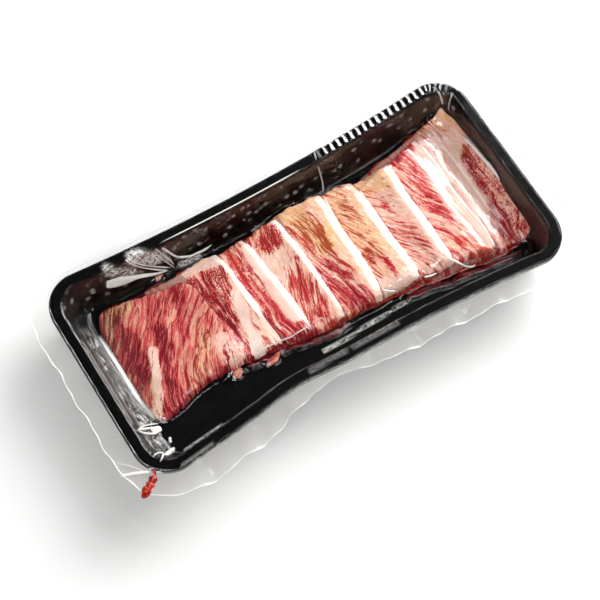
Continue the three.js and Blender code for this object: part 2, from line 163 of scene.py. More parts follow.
def sample(grid, x, y, cell=CELL):
    u = np.clip((x - MAP_X) / cell, 0, grid.shape[0] - 1.001)
    v = np.clip((y - MAP_Y) / cell, 0, grid.shape[1] - 1.001)
    i, j = u.astype(int), v.astype(int)
    fu, fv = u - i, v - j
    near = grid[i, j] * (1 - fu) + grid[i + 1, j] * fu
    far = grid[i, j + 1] * (1 - fu) + grid[i + 1, j + 1] * fu
    return near * (1 - fv) + far * fv


def relax(ground, pull, passes):
    """A sheet stretched over the ground and pulled down on to it."""
    sheet = ground.copy()
    pull = np.broadcast_to(pull, ground.shape)[1:-1, 1:-1]
    for _ in range(passes):
        mean = (sheet[:-2, 1:-1] + sheet[2:, 1:-1] + sheet[1:-1, :-2] + sheet[1:-1, 2:]) / 4
        np.maximum(ground[1:-1, 1:-1], mean - pull, out=sheet[1:-1, 1:-1])
    return sheet


def soften(grid, times):
    for _ in range(times):
        grid = np.pad(grid, 1, mode="edge")
        grid = (grid[:-2] + 2 * grid[1:-1] + grid[2:]) / 4
        grid = (grid[:, :-2] + 2 * grid[:, 1:-1] + grid[:, 2:]) / 4
    return grid


# The tray's inner height at some depths: the flange, its lip, the wall and the wall's round foot.
tray_map = np.interp(
    inside(GX, GY),
    [0, 6.0, FLANGE, 7.1, 10.1, 10.6, 11.4, 13.2],
    [24, 24, 23.85, 22.4, 4.6, 3.2, 2.1, FLOOR],
)
surface = tray_map.copy()


# Meshes

def attribute(piece, name, values):
    values = np.asarray(values, np.float32)
    kind = "FLOAT" if values.ndim == 1 else "FLOAT_VECTOR"
    data = piece.data.attributes.new(name, kind, "POINT").data
    data.foreach_set("value" if values.ndim == 1 else "vector", values.ravel())


def piece_of(name, points, faces, material, replaced=()):
    """A smooth piece of the object from points in millimetres."""
    mesh = bpy.data.meshes.new(name)
    mesh.from_pydata((np.asarray(points) * 0.001).tolist(), [], [list(map(int, f)) for f in faces])
    mesh.polygons.foreach_set("use_smooth", [True] * len(mesh.polygons))
    mesh.materials.append(material)
    mesh.update()
    made = bpy.data.objects.new(name, mesh)
    bpy.context.scene.collection.objects.link(made)
    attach(made, "root")
    if replaced:
        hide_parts(*replaced)
    return made


def grid_faces(columns, rows):
    i, j = np.meshgrid(np.arange(columns), np.arange(rows), indexing="ij")
    a = (i * (rows + 1) + j).ravel()
    b = ((i + 1) * (rows + 1) + j).ravel()
    return np.stack([a, b, b + 1, a + 1], 1)


def grid_loop(columns, rows):
    """The points round a grid's edge."""
    def at(i, j):
        return i * (rows + 1) + j
    return np.concatenate([
        at(np.arange(columns), 0),
        at(columns, np.arange(rows)),
        at(np.arange(columns, 0, -1), rows),
        at(0, np.arange(rows, 0, -1)),
    ])


def loops_of(count, size):
    """Loops of points that follow one another."""
    return [np.arange(size) + size * i for i in range(count)]


def band_faces(inner, outer):
    return np.stack([inner, outer, np.roll(outer, -1), np.roll(inner, -1)], 1)


def stack_faces(loops):
    """Faces between loops that follow one another."""
    return np.concatenate([band_faces(a, b) for a, b in zip(loops, loops[1:])])


def fan(tip, loop):
    """Triangles from one point to a loop."""
    return [(tip, a, b) for a, b in zip(loop, np.roll(loop, -1))]


def capped(loops, first_tip, last_tip):
    """Faces of a body of loops that ends in a point on both sides."""
    return [*map(tuple, stack_faces(loops)), *fan(first_tip, loops[0]), *fan(last_tip, loops[-1][::-1])]


def closed(lower, upper, faces, loops):
    """A closed body between two sheets with the same faces."""
    n = len(lower)
    rims = [band_faces(loop + n, loop) for loop in loops]
    return np.concatenate([lower, upper]), np.concatenate([faces[:, ::-1], faces + n, *rims])


# Materials

class Nodes:
    """Short calls for making a material's nodes."""

    def __init__(self, name):
        self.material = bpy.data.materials.new(name)
        self.material.use_nodes = True
        self.tree = self.material.node_tree
        self.tree.nodes.clear()
        self.out = self.tree.nodes.new("ShaderNodeOutputMaterial")

    def add(self, kind, settings=None, **inputs):
        node = self.tree.nodes.new("ShaderNode" + kind)
        for key, value in (settings or {}).items():
            setattr(node, key, value)
        for key, value in inputs.items():
            self.put(node, key.replace("_", " "), value)
        return node

    def put(self, node, key, value):
        socket = node.inputs[key]
        if isinstance(value, bpy.types.NodeSocket):
            self.tree.links.new(value, socket)
        else:
            socket.default_value = value

    def attribute(self, name, vector=False):
        node = self.add("Attribute", {"attribute_name": name})
        return node.outputs["Vector" if vector else "Fac"]

    def math(self, operation, a, b=0.0, clamp=False):
        node = self.add("Math", {"operation": operation, "use_clamp": clamp})
        self.put(node, 0, a)
        self.put(node, 1, b)
        return node.outputs[0]

    def times(self, a, b):
        return self.math("MULTIPLY", a, b)

    def total(self, first, *others):
        for other in others:
            first = self.math("ADD", first, other)
        return first

    def ramp(self, value, low, high, to_low=0.0, to_high=1.0):
        node = self.add("MapRange", {"interpolation_type": "SMOOTHSTEP"}, Value=value,
                        From_Min=low, From_Max=high, To_Min=to_low, To_Max=to_high)
        return node.outputs[0]

    def mix(self, share, a, b):
        node = self.add("Mix", {"data_type": "RGBA"})
        for index, value in ((0, share), (6, a), (7, b)):
            self.put(node, index, value)
        return node.outputs[2]

    def blend(self, share, a, b):
        node = self.add("MixShader")
        for index, value in enumerate((share, a, b)):
            self.put(node, index, value)
        return node.outputs[0]

    def noise(self, vector, scale, detail=3.0, roughness=0.5, distortion=0.0):
        node = self.add("TexNoise", Scale=scale, Detail=detail, Roughness=roughness,
                        Distortion=distortion, Vector=vector)
        return node.outputs["Fac"]

    def scaled(self, vector, x, y, z=1.0):
        node = self.add("VectorMath", {"operation": "MULTIPLY"})
        self.put(node, 0, vector)
        self.put(node, 1, (x, y, z))
        return node.outputs[0]

    def place(self):
        return self.add("TexCoord").outputs["Object"]

    def bump(self, height, strength, distance):
        return self.add("Bump", Height=height, Strength=strength, Distance=distance).outputs[0]

    def finish(self, shader):
        self.tree.links.new(shader, self.out.inputs["Surface"])
        return self.material


def rgb(red, green, blue):
    """A colour given in screen values from 0 to 255."""
    linear = [(c / 12.92 if c <= 0.04045 else ((c + 0.055) / 1.055) ** 2.4)
              for c in (red / 255, green / 255, blue / 255)]
    return (*linear, 1.0)


def meat_material():
    """Lean streaks in fat. grain runs along and across the streaks, in millimetres."""
    n = Nodes("raw_meat")
    grain = n.attribute("grain", vector=True)
    warm, deep, dull = (n.attribute(name) for name in ("warm", "deep", "dull"))

    def streaked(along, across, detail, roughness, distortion=0.0):
        return n.noise(n.scaled(grain, along, across), 1.0, detail, roughness, distortion)

    broad = streaked(0.03, 0.16, 2.0, 0.5, 0.3)
    streaks = streaked(0.06, 0.42, 4.0, 0.68, 0.4)
    hairs = streaked(0.13, 1.35, 3.0, 0.7, 0.7)
    threads = n.ramp(streaked(0.1, 0.95, 3.0, 0.65, 0.6), 0.53, 0.64)
    contours = n.math("PINGPONG", n.times(streaked(0.02, 0.13, 3.0, 0.5, 0.5), 15.0), 1.0)
    ridges = n.ramp(contours, 0.0, 0.45, 0.36, -0.12)
    specks = streaked(0.9, 1.3, 3.0, 0.7, 0.4)
    fine = streaked(2.2, 2.8, 2.0, 0.7)
    blotch = n.ramp(streaked(0.16, 0.3, 3.0, 0.6, 0.5), 0.4, 0.7)
    milk = n.ramp(streaked(0.22, 0.55, 4.0, 0.65, 0.8), 0.5, 0.62, 0.0, 0.65)
    tone = n.ramp(n.total(n.times(specks, 0.6), n.times(fine, 0.4)), 0.32, 0.68)

    speckle = n.times(n.total(specks, -0.5), n.attribute("speckle"))
    lean = n.total(n.times(broad, 0.4), n.times(streaks, 1.35), -0.9, n.attribute("balance"), speckle)
    lines = n.total(lean, n.times(warm, 0.15), n.times(n.total(hairs, -0.5), 1.4),
                    n.times(ridges, n.attribute("ripple")))

    def tones(light, dark):
        return n.mix(tone, rgb(*light), rgb(*dark))

    fat = n.mix(n.times(n.total(broad, tone), 0.5), rgb(254, 222, 204), rgb(232, 152, 136))
    fat = n.mix(n.times(blotch, 0.5), fat, tones((244, 172, 154), (224, 132, 120)))
    fat = n.mix(milk, fat, rgb(254, 236, 220))
    # Flushed fat: pinker, darker fat, also used as painted shade.
    fat = n.mix(n.attribute("flush"), fat, tones((222, 120, 106), (186, 78, 72)))
    yellow = n.mix(milk, tones((248, 208, 164), (234, 162, 100)), rgb(253, 232, 204))
    fat = n.mix(warm, fat, yellow)
    # Pale fat, also used as a painted sheen along each slice's right edge.
    fat = n.mix(n.attribute("pale"), fat, tones((255, 238, 226), (246, 208, 194)))
    red = n.mix(warm, tones((232, 108, 104), (208, 60, 68)), tones((218, 122, 68), (190, 84, 46)))
    red = n.mix(n.times(threads, 0.75), red, fat)
    dark = n.mix(warm, rgb(190, 26, 48), rgb(184, 82, 42))
    dark = n.mix(deep, dark, tones((150, 16, 36), (96, 6, 22)))
    dark = n.mix(n.times(threads, 0.5), dark, red)

    colour = n.mix(n.ramp(lean, -0.12, 0.08), fat, red)
    colour = n.mix(n.ramp(lines, 0.0, 0.18), colour, dark)
    # Darker red along the crease where the slice above ends.
    seam = n.total(n.attribute("seam"), n.times(specks, 1.2))
    colour = n.mix(n.ramp(seam, 0.6, 1.7, 0.55, 0.0), colour, rgb(120, 10, 26))
    # Dulled meat: a greyed tone, used as painted shade.
    greyed = n.mix(n.ramp(lean, -0.1, 0.1), rgb(206, 190, 150), rgb(96, 44, 52))
    colour = n.mix(n.times(dull, 0.6), colour, greyed)
    bump = n.bump(n.total(streaks, specks, fine), 0.6, 0.0004)
    shader = n.add("BsdfPrincipled", Base_Color=colour, Roughness=0.42, Normal=bump,
                   Specular_IOR_Level=0.1, Subsurface_Weight=0.08,
                   Subsurface_Radius=(1.0, 0.35, 0.2), Subsurface_Scale=0.0015)
    return n.finish(shader.outputs[0])


def juice_material(name, dark, bright):
    n = Nodes(name)
    where = n.place()
    thick = n.noise(where, 260.0, 4.0, 0.6, 0.3)
    colour = n.mix(n.ramp(thick, 0.35, 0.7), dark, bright)
    bump = n.bump(n.noise(where, 700.0, 2.0), 0.3, 0.0004)
    shader = n.add("BsdfPrincipled", Base_Color=colour, Roughness=0.22, Normal=bump)
    return n.finish(shader.outputs[0])


def tray_material():
    n = Nodes("black_tray")
    where = n.place()
    colour = n.mix(n.ramp(n.noise(where, 90.0, 4.0, 0.6), 0.45, 0.8), rgb(2, 2, 2), rgb(8, 7, 7))
    specks = n.ramp(n.noise(where, 900.0, 2.0, 0.7), 0.68, 0.76)
    colour = n.mix(specks, colour, rgb(74, 72, 74))
    rough = n.ramp(n.noise(where, 240.0, 3.0), 0.3, 0.8, 0.42, 0.6)
    bump = n.bump(n.noise(where, 420.0, 3.0, 0.6), 0.15, 0.0003)
    shader = n.add("BsdfPrincipled", Base_Color=colour, Roughness=rough, Normal=bump,
                   Specular_IOR_Level=0.06)
    return n.finish(shader.outputs[0])


def film_material():
    """Clear film: a sharp reflection over what lies below, and milky white as far as its haze and glare
    attribute says; that white is partly real film whitening and partly painted glare.
    """
    n = Nodes("clear_film")
    where = n.place()
    wrinkles = n.noise(where, 320.0, 3.0, 0.55, 0.6)
    blobs = n.noise(where, 120.0, 2.0, 0.5, 0.8)
    slack = n.times(n.total(n.times(wrinkles, 0.35), blobs), n.attribute("loose"))
    crinkle = n.times(n.noise(where, 380.0, 5.0, 0.75, 1.0), n.attribute("crinkle"))
    bump = n.bump(n.total(slack, crinkle), 1.0, 0.0012)
    gloss = n.add("BsdfGlossy", Color=(1, 1, 1, 1), Roughness=0.09, Normal=bump)
    clear = n.add("BsdfTransparent", Color=(1, 1, 1, 1))
    facing = n.add("LayerWeight", Blend=0.5, Normal=bump).outputs["Facing"]
    share = n.total(n.times(n.math("POWER", facing, 5.0), 0.42), 0.038)
    wet = n.blend(share, clear.outputs[0], gloss.outputs[0])

    # Where the film is crinkled, broken streaks take the place of the even mottling.
    mottle = n.ramp(n.noise(where, 650.0, 5.0, 0.75, 0.8), 0.43, 0.57)
    streaks = n.ramp(n.noise(n.scaled(where, 1.0, 0.4, 0.7), 520.0, 5.0, 0.74, 1.0), 0.47, 0.58)
    patches = n.ramp(n.noise(where, 150.0, 2.0, 0.6, 0.5), 0.42, 0.56, 0.2, 1.0)
    band = n.math("MULTIPLY", n.attribute("crinkle"), 2.1, clamp=True)
    change = n.math("SUBTRACT", n.times(streaks, patches), mottle)
    mottle = n.total(mottle, n.times(band, change))
    patchy = n.attribute("mottle")
    cover = n.total(n.math("SUBTRACT", 1.0, patchy), n.times(patchy, mottle))

    # Spots on the far wall: film bubbles, in milky white that partly paints their glints.
    cells = n.add("TexVoronoi", Scale=170.0, Vector=where).outputs["Distance"]
    spots = n.ramp(n.total(cells, n.times(wrinkles, 0.5)), 0.36, 0.6, 1.0, 0.0)
    spots = n.times(spots, n.attribute("spots"))
    haze = n.math("ADD", n.times(n.attribute("haze"), cover), spots, clamp=True)
    # The milky white: real film whitening and painted glare.
    milky = n.add("BsdfPrincipled", Base_Color=rgb(246, 243, 238), Roughness=0.3, Normal=bump)
    return n.finish(n.blend(haze, wet, milky.outputs[0]))


MEAT, BLACK, CLEAR = meat_material(), tray_material(), film_material()
DARK_JUICE = juice_material("dark_juice", rgb(60, 7, 11), rgb(128, 22, 24))
RED_JUICE = juice_material("red_juice", rgb(140, 12, 10), rgb(206, 52, 22))


# The slices

# What each slice shows. grain is how far the streaks move towards +X per millimetre of y, at some
# y. Each region is a line with a radius, and what it adds: balance towards lean, warm fat, deep
# lean, dull meat and flushed fat (both also painted shade), pale fat (also painted sheen), speckle.
LOOKS = [
    dict(
        grain=[(-32, -0.1), (-20, 0.1), (-5, 0.75), (15, 0.9), (40, 0.6)],
        # Slice 1 is flushed and dulled darker all over: partly its own pinker fat, partly painted shade.
        bend=2.0, balance=0.03, warm=0.08, deep=0.65, flush=0.6, dull=0.2,
        regions=[
            # Painted shade: the left end of slice 1 is flushed, deepened and dulled darker.
            ([(-104, 30), (-108, -30)], 11.0, dict(flush=0.4, deep=0.5, dull=0.6, balance=0.12)),
            ([(-88, 9.2), (-98, -13.5), (-110.6, -31)], 2.6,
             dict(balance=-0.28, warm=-0.1, flush=-0.6, dull=-0.2, pale=0.45, speckle=0.3)),
            ([(-80, 16), (-84.5, 3.6), (-93.5, -19.2), (-98, -36)], 3.2, dict(balance=0.2, deep=0.5)),
            ([(-56, -7), (-54.5, -16.5), (-56, -25)], 4.6,
             dict(balance=-0.24, warm=-0.1, flush=-0.4, dull=-0.2, pale=0.2, speckle=0.4)),
            ([(-94, 22), (-98.3, 3.6)], 4.5, dict(balance=0.16, deep=0.4)),
            ([(-96, 36), (-88, 40)], 5.0, dict(warm=0.8, dull=0.25)),
            ([(-74, 33), (-79.6, 13.7), (-83, 2.8)], 4.0, dict(balance=0.12, deep=0.35)),
            ([(-60, 28), (-69.8, 7.2)], 3.0, dict(balance=0.12, deep=0.2)),
            ([(-60, 1.4), (-78, -19.6)], 4.0, dict(warm=0.4)),
            ([(-58, -24), (-80, -27.5)], 3.5, dict(balance=0.2, deep=0.6)),
        ],
    ),
    dict(
        grain=[(-20, -0.1), (10, 0.0), (30, 0.2)],
        bend=2.0, balance=-0.03, warm=0.15, deep=0.4, flush=0.05,
        regions=[
            ([(-50, 28), (-38, 26)], 5.5, dict(balance=0.2, deep=0.45, speckle=0.9)),
            ([(-49, 17), (-42, 13)], 6.0, dict(balance=0.22, deep=0.45, speckle=0.9)),
            ([(-47.5, 5), (-44.5, 1)], 4.5, dict(balance=0.24, deep=0.6, speckle=0.8)),
            ([(-46.8, -3), (-46.2, -10)], 2.4, dict(balance=0.3, deep=0.7, speckle=0.5)),
            ([(-35.5, 12), (-38.6, -9), (-39.9, -21)], 2.8, dict(balance=-0.36, pale=0.7)),
            ([(-58, 36.5), (-43.2, 39), (-28.5, 36.5)], 3.6, dict(balance=-0.5, pale=0.5)),
            ([(-43.5, -15), (-36.8, -26)], 4.0, dict(balance=-0.05, warm=0.15, pale=0.4)),
        ],
    ),
    dict(
        grain=[(-20, -0.2), (30, 0.0)],
        bend=2.0, balance=0.04, warm=0.1, deep=0.1,
        regions=[
            ([(-30, -6), (-27, -17.4)], 3.0, dict(balance=0.26, deep=0.8, speckle=0.5)),
            ([(-18.8, -16.6), (-18, -18)], 3.4, dict(balance=0.2, deep=0.3)),
            ([(-18.6, 32.7), (-17.6, 4.1), (-15.4, -15)], 2.6, dict(balance=-0.4, pale=0.5)),
            ([(-33, 33), (-20, 35)], 3.5, dict(balance=-0.02, warm=0.2)),
            ([(-26, 25), (-28, 5)], 5.0, dict(balance=0.05, speckle=0.9)),
        ],
    ),
    dict(
        grain=[(-20, 0.4), (30, 0.2)],
        bend=2.0, balance=-0.04, warm=0.2, deep=0.1,
        regions=[
            ([(-9, 32), (-7, 28)], 3.6, dict(balance=0.22, deep=0.3, speckle=0.9)),
            ([(-1.5, 28), (0.7, 33.5)], 3.6, dict(balance=0.25, deep=0.3, speckle=0.9)),
            ([(-6, 22), (-4.6, 9.7)], 5.0, dict(balance=-0.16, pale=0.3)),
            ([(1, 10), (-3, -18)], 6.0, dict(balance=0.14, deep=0.2)),
        ],
    ),
    dict(
        grain=[(-28, -0.1), (0, -0.2), (35, -0.3)],
        bend=2.0, balance=-0.02, warm=0.3, deep=0.2,
        regions=[
            ([(8, 38), (26, 37)], 5.0, dict(balance=-0.35, warm=0.35)),
            ([(13, 31), (19, 12)], 6.0, dict(balance=0.02, warm=0.75)),
            ([(11.7, 0), (14.3, -18), (17.8, -27)], 7.0,
             dict(balance=0.18, deep=0.4, warm=-0.3, speckle=0.4)),
            ([(26, 30), (24.5, 2.3), (25, -14)], 2.8, dict(balance=-0.4, warm=0.2)),
        ],
    ),
    dict(
        grain=[(-28, -0.3), (35, -0.7)],
        bend=1.5, balance=-0.08, warm=0.45, deep=0.1,
        regions=[
            ([(35, 36), (36, 24), (37, 2)], 7.0, dict(warm=0.3, balance=0.02)),
            ([(34.5, -1), (35.5, -8)], 2.4, dict(balance=0.2, deep=0.4, speckle=0.6)),
            ([(42.5, -12), (42, -17)], 2.0, dict(balance=0.3, deep=0.1, warm=-0.5, speckle=0.5)),
            ([(41.8, -18), (41, -25)], 1.2, dict(balance=0.2, warm=-0.4)),
            ([(31, -24), (46, -29)], 5.0, dict(balance=-0.35, warm=-0.3, pale=0.4)),
            ([(46, 28), (46.5, -20)], 2.6, dict(balance=-0.4)),
        ],
    ),
    dict(
        grain=[(-32, -0.45), (0, -0.6), (30, -0.8)],
        bend=1.5, balance=-0.09, warm=0.1, deep=0.12,
        regions=[
            ([(54, 33), (62, 28)], 7.0, dict(balance=-0.12, warm=0.7)),
            ([(54, 12), (57, -2), (57, -14), (60, -27)], 6.5, dict(balance=0.08)),
            ([(66, 24), (67, -20)], 2.6, dict(balance=-0.35)),
        ],
    ),
    dict(
        grain=[(-32, -0.3), (0, -0.5), (35, -0.3)],
        bend=2.0, balance=-0.06, warm=0.05, deep=0.08,
        regions=[
            ([(76, 36), (84, 39)], 5.0, dict(balance=0.3, deep=0.6, speckle=0.5)),
            ([(76, 27), (84, 22)], 4.5, dict(balance=0.08, speckle=0.6)),
            ([(79, 6), (83, -6)], 4.0, dict(balance=0.16, deep=0.3, speckle=0.6)),
            ([(74, -22), (87, -34)], 5.0, dict(balance=0.08, warm=0.2)),
        ],
    ),
    dict(
        grain=[(-36, 0.1), (0, 0.0), (45, -0.2)],
        bend=3.0, balance=-0.12, warm=0.1, deep=0.3,
        regions=[
            ([(110, 49), (113, 45)], 4.0, dict(balance=-0.4, warm=0.3)),
            ([(100, 45), (106, 48.5)], 2.6, dict(balance=0.1, warm=1.0)),
            ([(114.5, 44), (115.5, 38)], 2.2, dict(warm=0.9)),
            ([(102, 40), (109, 36)], 4.5, dict(balance=0.1, deep=-0.4)),
            ([(109, 30), (104, 21), (102, 6), (101, -10)], 4.5, dict(balance=-0.4, deep=-0.2, pale=0.45)),
            ([(109, 26), (111, 21)], 2.8, dict(balance=0.1, warm=0.7)),
            ([(111, 16), (110.5, 3), (110, -12), (109, -30)], 8.0, dict(balance=0.3, deep=0.3, speckle=1.3)),
            ([(104, -2), (103, -14)], 3.0, dict(balance=-0.3)),
        ],
    ),
]
ADDED_FIELDS = ("warm", "deep", "dull", "flush", "pale")


def slice_sides(k, u):
    """The near and the far end of slice k."""
    far, far_flare, near, near_flare = SLICES[k][3:]
    power = 4 if k == FIRST else 1
    return near + near_flare * (1 - u) ** power, far + far_flare * (1 - u)


def slice_plan(k, u, v):
    """Where the place (u, v) of a slice lies: u from left to right, v from near to far."""
    length, right, lean = SLICES[k][:3]
    reach = 0.945 if k == FIRST else 0.8

    def across(t):
        return (1 - np.abs(reach * (2 * t - 1)) ** 7) ** (1 / 7)

    seed = k + 1
    near, far = slice_sides(k, u)
    far = far + 0.8 * waves(u, seed) + 0.5 * noise(u * 60, u, 2.2, 40 + k)
    near = near + 1.3 * waves(u, seed + 4) + 0.6 * noise(u * 60, u, 2.0, 60 + k)
    y = (far + near) / 2 + (v - 0.5) * (far - near) * across(u)
    reach_x = length + lean * y
    x = right - length + reach_x / 2 + (u - 0.5) * reach_x * across(v) + 0.6 * waves(v, seed + 8)
    if k == FIRST:
        x = x + (4.0 * bump(y, -22, 7) + 3.5 * bump(y, 33, 8)) * smooth(u, 0.6, 1)
    if k == LAST:
        x = x + 2.9 * smooth(u, 0.5, 1) * (1 - 0.6 * smooth(y, 38, 50))
    return x, y, reach_x, far - near


def round_edge(distance, width, power=2.2):
    t = 1 - np.clip(distance / width, 0, 1)
    return (1 - t ** power) ** (1 / power)


# The slope at each slice's right edge: how wide it is, and its share of the thickness.
EDGES = [
    (9, 0.16), (3.8, 0.42), (4.1, 0.45), (4.4, 0.47), (5.0, 0.53), (5.0, 0.53), (5.2, 0.54), (8.5, 0.56),
    (7, 0.75),
]

# How wide and high an edge's slope is at some y, as a share of the above.
NARROWING = {
    0: [(-22, 0.2), (-4, 1)],
    1: [(-7, 0.1), (1, 0.9), (6, 1.1), (13, 0.65), (30, 0.5)],
    2: [(-26, 0.1), (-18, 0.55), (-4, 0.85), (20, 0.7), (35, 0.6)],
    3: [(-25, 0.3), (-10, 0.7), (10, 0.9)],
}


def slice_thickness(k, u, v, x, y, reach, breadth):
    left, right = u * reach, (1 - u) * reach
    near, far = v * breadth, (1 - v) * breadth
    width, share = EDGES[k]
    if k in NARROWING:
        factor = np.interp(y, *np.array(NARROWING[k]).T)
        width, share = width * factor, share * factor
    slope = 1 - (1 - np.clip(right / width, 0, 1)) ** (1.1 if k == LAST - 1 else 1.7)
    rest = smooth(right, 0, 30)
    thick = THICKNESS * (share * slope + (1 - share) * rest) * round_edge(left, 2.0)
    thick *= 0.4 + 0.6 * np.clip(left / 18, 0, 1) if k == FIRST else np.clip(left / 30, 0.06, 1)
    thick *= (0.75 + 0.25 * smooth(near, 0, 5)) * round_edge(near, 1.5) * round_edge(far, 2.0)
    if k == LAST:
        ridge = np.clip((104 - x) / 7.5, 0, 1) * smooth(y, -40, -30) * smooth(46 - y, 0, 8)
        thick += 1.4 * smooth(left, 0, 25) * ridge
    uneven = 0.35 * noise(x, y, 14, 80 + k) + 0.15 * noise(x, y, 5, 90 + k)
    return thick + uneven * smooth(thick, 0.5, 3)


def short_ends(count, short):
    """Even steps from 0 to 1 with finer ones near both ends."""
    t = np.linspace(0, 1, count + 1)
    return t - short * np.sin(2 * np.pi * t) / (2 * np.pi)


def slice_grain(k, x, y, wx, wy):
    """Places along and across the streaks, in millimetres, from places bent a little."""
    at, slopes = np.array(LOOKS[k]["grain"]).T
    rows = np.arange(-60, 60.5, CELL)
    drift = np.cumsum(np.interp(rows, at, slopes)) * CELL
    along = wy * np.sqrt(1 + np.interp(wy, at, slopes) ** 2) + 90 * k
    across = (wx - np.interp(wy, rows, drift)) / np.sqrt(1 + np.interp(0, at, slopes) ** 2) + 70 * k
    return np.stack([along, across, np.zeros_like(x)], 1)


def slice_fields(k, u, x, y):
    """The streaks' places and what the meat shows at these points of slice k."""
    look = LOOKS[k]
    bend = look["bend"]
    wx = x + bend * noise(x, y, 22, 10 + k) + 0.3 * bend * noise(x, y, 8, 20 + k)
    wy = y + bend * noise(x, y, 22, 30 + k) + 0.3 * bend * noise(x, y, 8, 50 + k)
    fields = {name: np.full(x.shape, look.get(name, 0.0)) for name in ("balance", *ADDED_FIELDS)}
    fields["speckle"] = np.full(x.shape, 0.35)
    fields["ripple"] = np.full(x.shape, 1.0 if k == FIRST else 0.4)
    for path, radius, adds in look["regions"]:
        edge = radius * (1 + 0.35 * noise(x, y, 5, 70 + k))
        share = 1 - smooth(line_distance(np.stack([wx, wy], -1), path), edge * 0.55, edge * 1.45)
        for name, amount in adds.items():
            fields[name] += amount * share

    low, high = slice_sides(k, u)
    from_right = (1 - u) * SLICES[k][0]
    near_end = 1 - smooth(y - low + 1.2 * noise(x, y, 3, 35), 0.3, 2.4)
    far_end = 1 - smooth(high - y + 1.0 * noise(x, y, 3, 36), 0.0, 2.0)
    fields["balance"] += 0.2 * near_end + 0.1 * far_end
    fields["deep"] += (0.8 if k < 3 else 0.3) * near_end
    fields["warm"] += 0.5 * far_end + (0.4 * near_end if 3 < k < LAST else 0)
    # Painted sheen: each slice is fattier and paler along its right edge, where the film's highlight rolls
    # over the step.
    if k != FIRST:
        fields["balance"] -= 0.2 * (1 - smooth(from_right + noise(x, y, 6, 37), 1, 7))
    if FIRST < k < LAST:
        fields["pale"] += np.clip(0.8 - np.abs(from_right - 1.5) / 4 + 0.3 * noise(x, y, 4, 39), 0, 1)
    fields["seam"] = slice_seam(k, x, y)
    for name in ADDED_FIELDS:
        fields[name] = np.clip(fields[name], 0, 1)
    return slice_grain(k, x, y, wx, wy), fields


def slice_seam(k, x, y):
    """How far a point lies to the right of the slice above it."""
    if k == FIRST:
        return np.full(x.shape, 9.0)
    _, right, lean = SLICES[k - 1][:3]
    seam = x - right - lean * y + 0.5 * noise(x, y, 5, 38)
    if k == 1:
        seam += 4 * (1 - smooth(y, -14, -6)) - 1.2
    return seam


def make_slice(k):
    """Lays slice k on what lies there already, and raises the surface by it."""
    bed = relax(surface[::COARSE, ::COARSE], 0.14 if k == LAST else 0.06, 160)

    fine_u, fine_v = np.meshgrid(np.linspace(0, 1, 241), np.linspace(0, 1, 321), indexing="ij")
    x, y, reach, breadth = slice_plan(k, fine_u, fine_v)
    top = sample(bed, x, y, COARSE * CELL) + slice_thickness(k, fine_u, fine_v, x, y, reach, breadth)
    cell = (np.round((x - MAP_X) / CELL).astype(int), np.round((y - MAP_Y) / CELL).astype(int))
    np.maximum.at(surface, cell, top)

    columns, rows = 74, 84
    u, v = np.meshgrid(short_ends(columns, 0.6), short_ends(rows, 0.5), indexing="ij")
    u, v = u.ravel(), v.ravel()
    x, y, reach, breadth = slice_plan(k, u, v)
    low = sample(bed, x, y, COARSE * CELL)
    high = low + np.maximum(THINNEST, slice_thickness(k, u, v, x, y, reach, breadth))
    faces = grid_faces(columns, rows)
    lower, upper = np.stack([x, y, low], 1), np.stack([x, y, high], 1)
    points, faces = closed(lower, upper, faces, [grid_loop(columns, rows)])
    name = f"slice_{k + 1}"
    made = piece_of(f"meat_{k + 1}", points, faces, MEAT, [name])
    grain, fields = slice_fields(k, u, x, y)
    attribute(made, "grain", np.concatenate([grain, grain]))
    for field, values in fields.items():
        attribute(made, field, np.tile(values, 2))


for k in reversed(range(len(SLICES))):
    make_slice(k)


# Juice and scraps beside the pile, under the film

pile = surface > tray_map + 0.8
JUICE_FLOOR, JUICE_HEIGHT = FLOOR + 0.2, 0.9

# Centre, half sizes and turn of each scrap of meat.
SCRAPS = [
    ((-56.4, -23.2, 2.2), (3.4, 2.4, 1.1), 0.3),
    ((-36.6, -26.6, 2.2), (4.4, 1.7, 1.1), 0.25),
    ((-63.6, 44.3, 2.4), (2.2, 1.3, 0.8), 0.2),
]


def pile_edge(x, far):
    """The y where the pile ends at x."""
    rows = pile[np.round((np.asarray(x) - MAP_X) / CELL).astype(int)]
    y = np.array([(ys[row].max() if far else ys[row].min()) if row.any() else 0 for row in rows])
    return np.convolve(np.pad(y, 2, mode="edge"), np.full(5, 0.2), mode="valid")


def side_line(x0, x1, far, offset):
    """A wavy line on the tray's floor beside the pile."""
    x = np.arange(x0, x1, 2.5)
    y = pile_edge(x, far) + (offset if far else -offset) + 0.7 * noise(x, x * 0, 5, 44)
    return np.column_stack([x, y, np.full(len(x), JUICE_FLOOR)])


# Lines of juice and their widths.
DARK_LINES = [
    (side_line(-50, 8, False, 0.9), 4.6),
    (side_line(40, 108, False, 3.4), 4.0),
    (side_line(-100, -60, True, 0.3), 3.0),
    (side_line(-30, 60, True, 0.2), 2.2),
]
RED_LINES = [
    (side_line(24, 111, False, 0.1), 1.7),
    (side_line(64, 101, True, 0.3), 2.2),
    (side_line(-58, -40, True, 0.4), 2.0),
]


def raise_by_juice(line, width):
    distance = line_distance(np.stack([GX, GY], -1), line[:, :2])
    dome = np.sqrt(np.maximum(0, 1 - (distance / (width * 0.75)) ** 2))
    top = (JUICE_FLOOR + JUICE_HEIGHT * 1.3) * (dome > 0.3) * np.minimum(1, dome * 1.2)
    np.maximum(surface, top, out=surface)


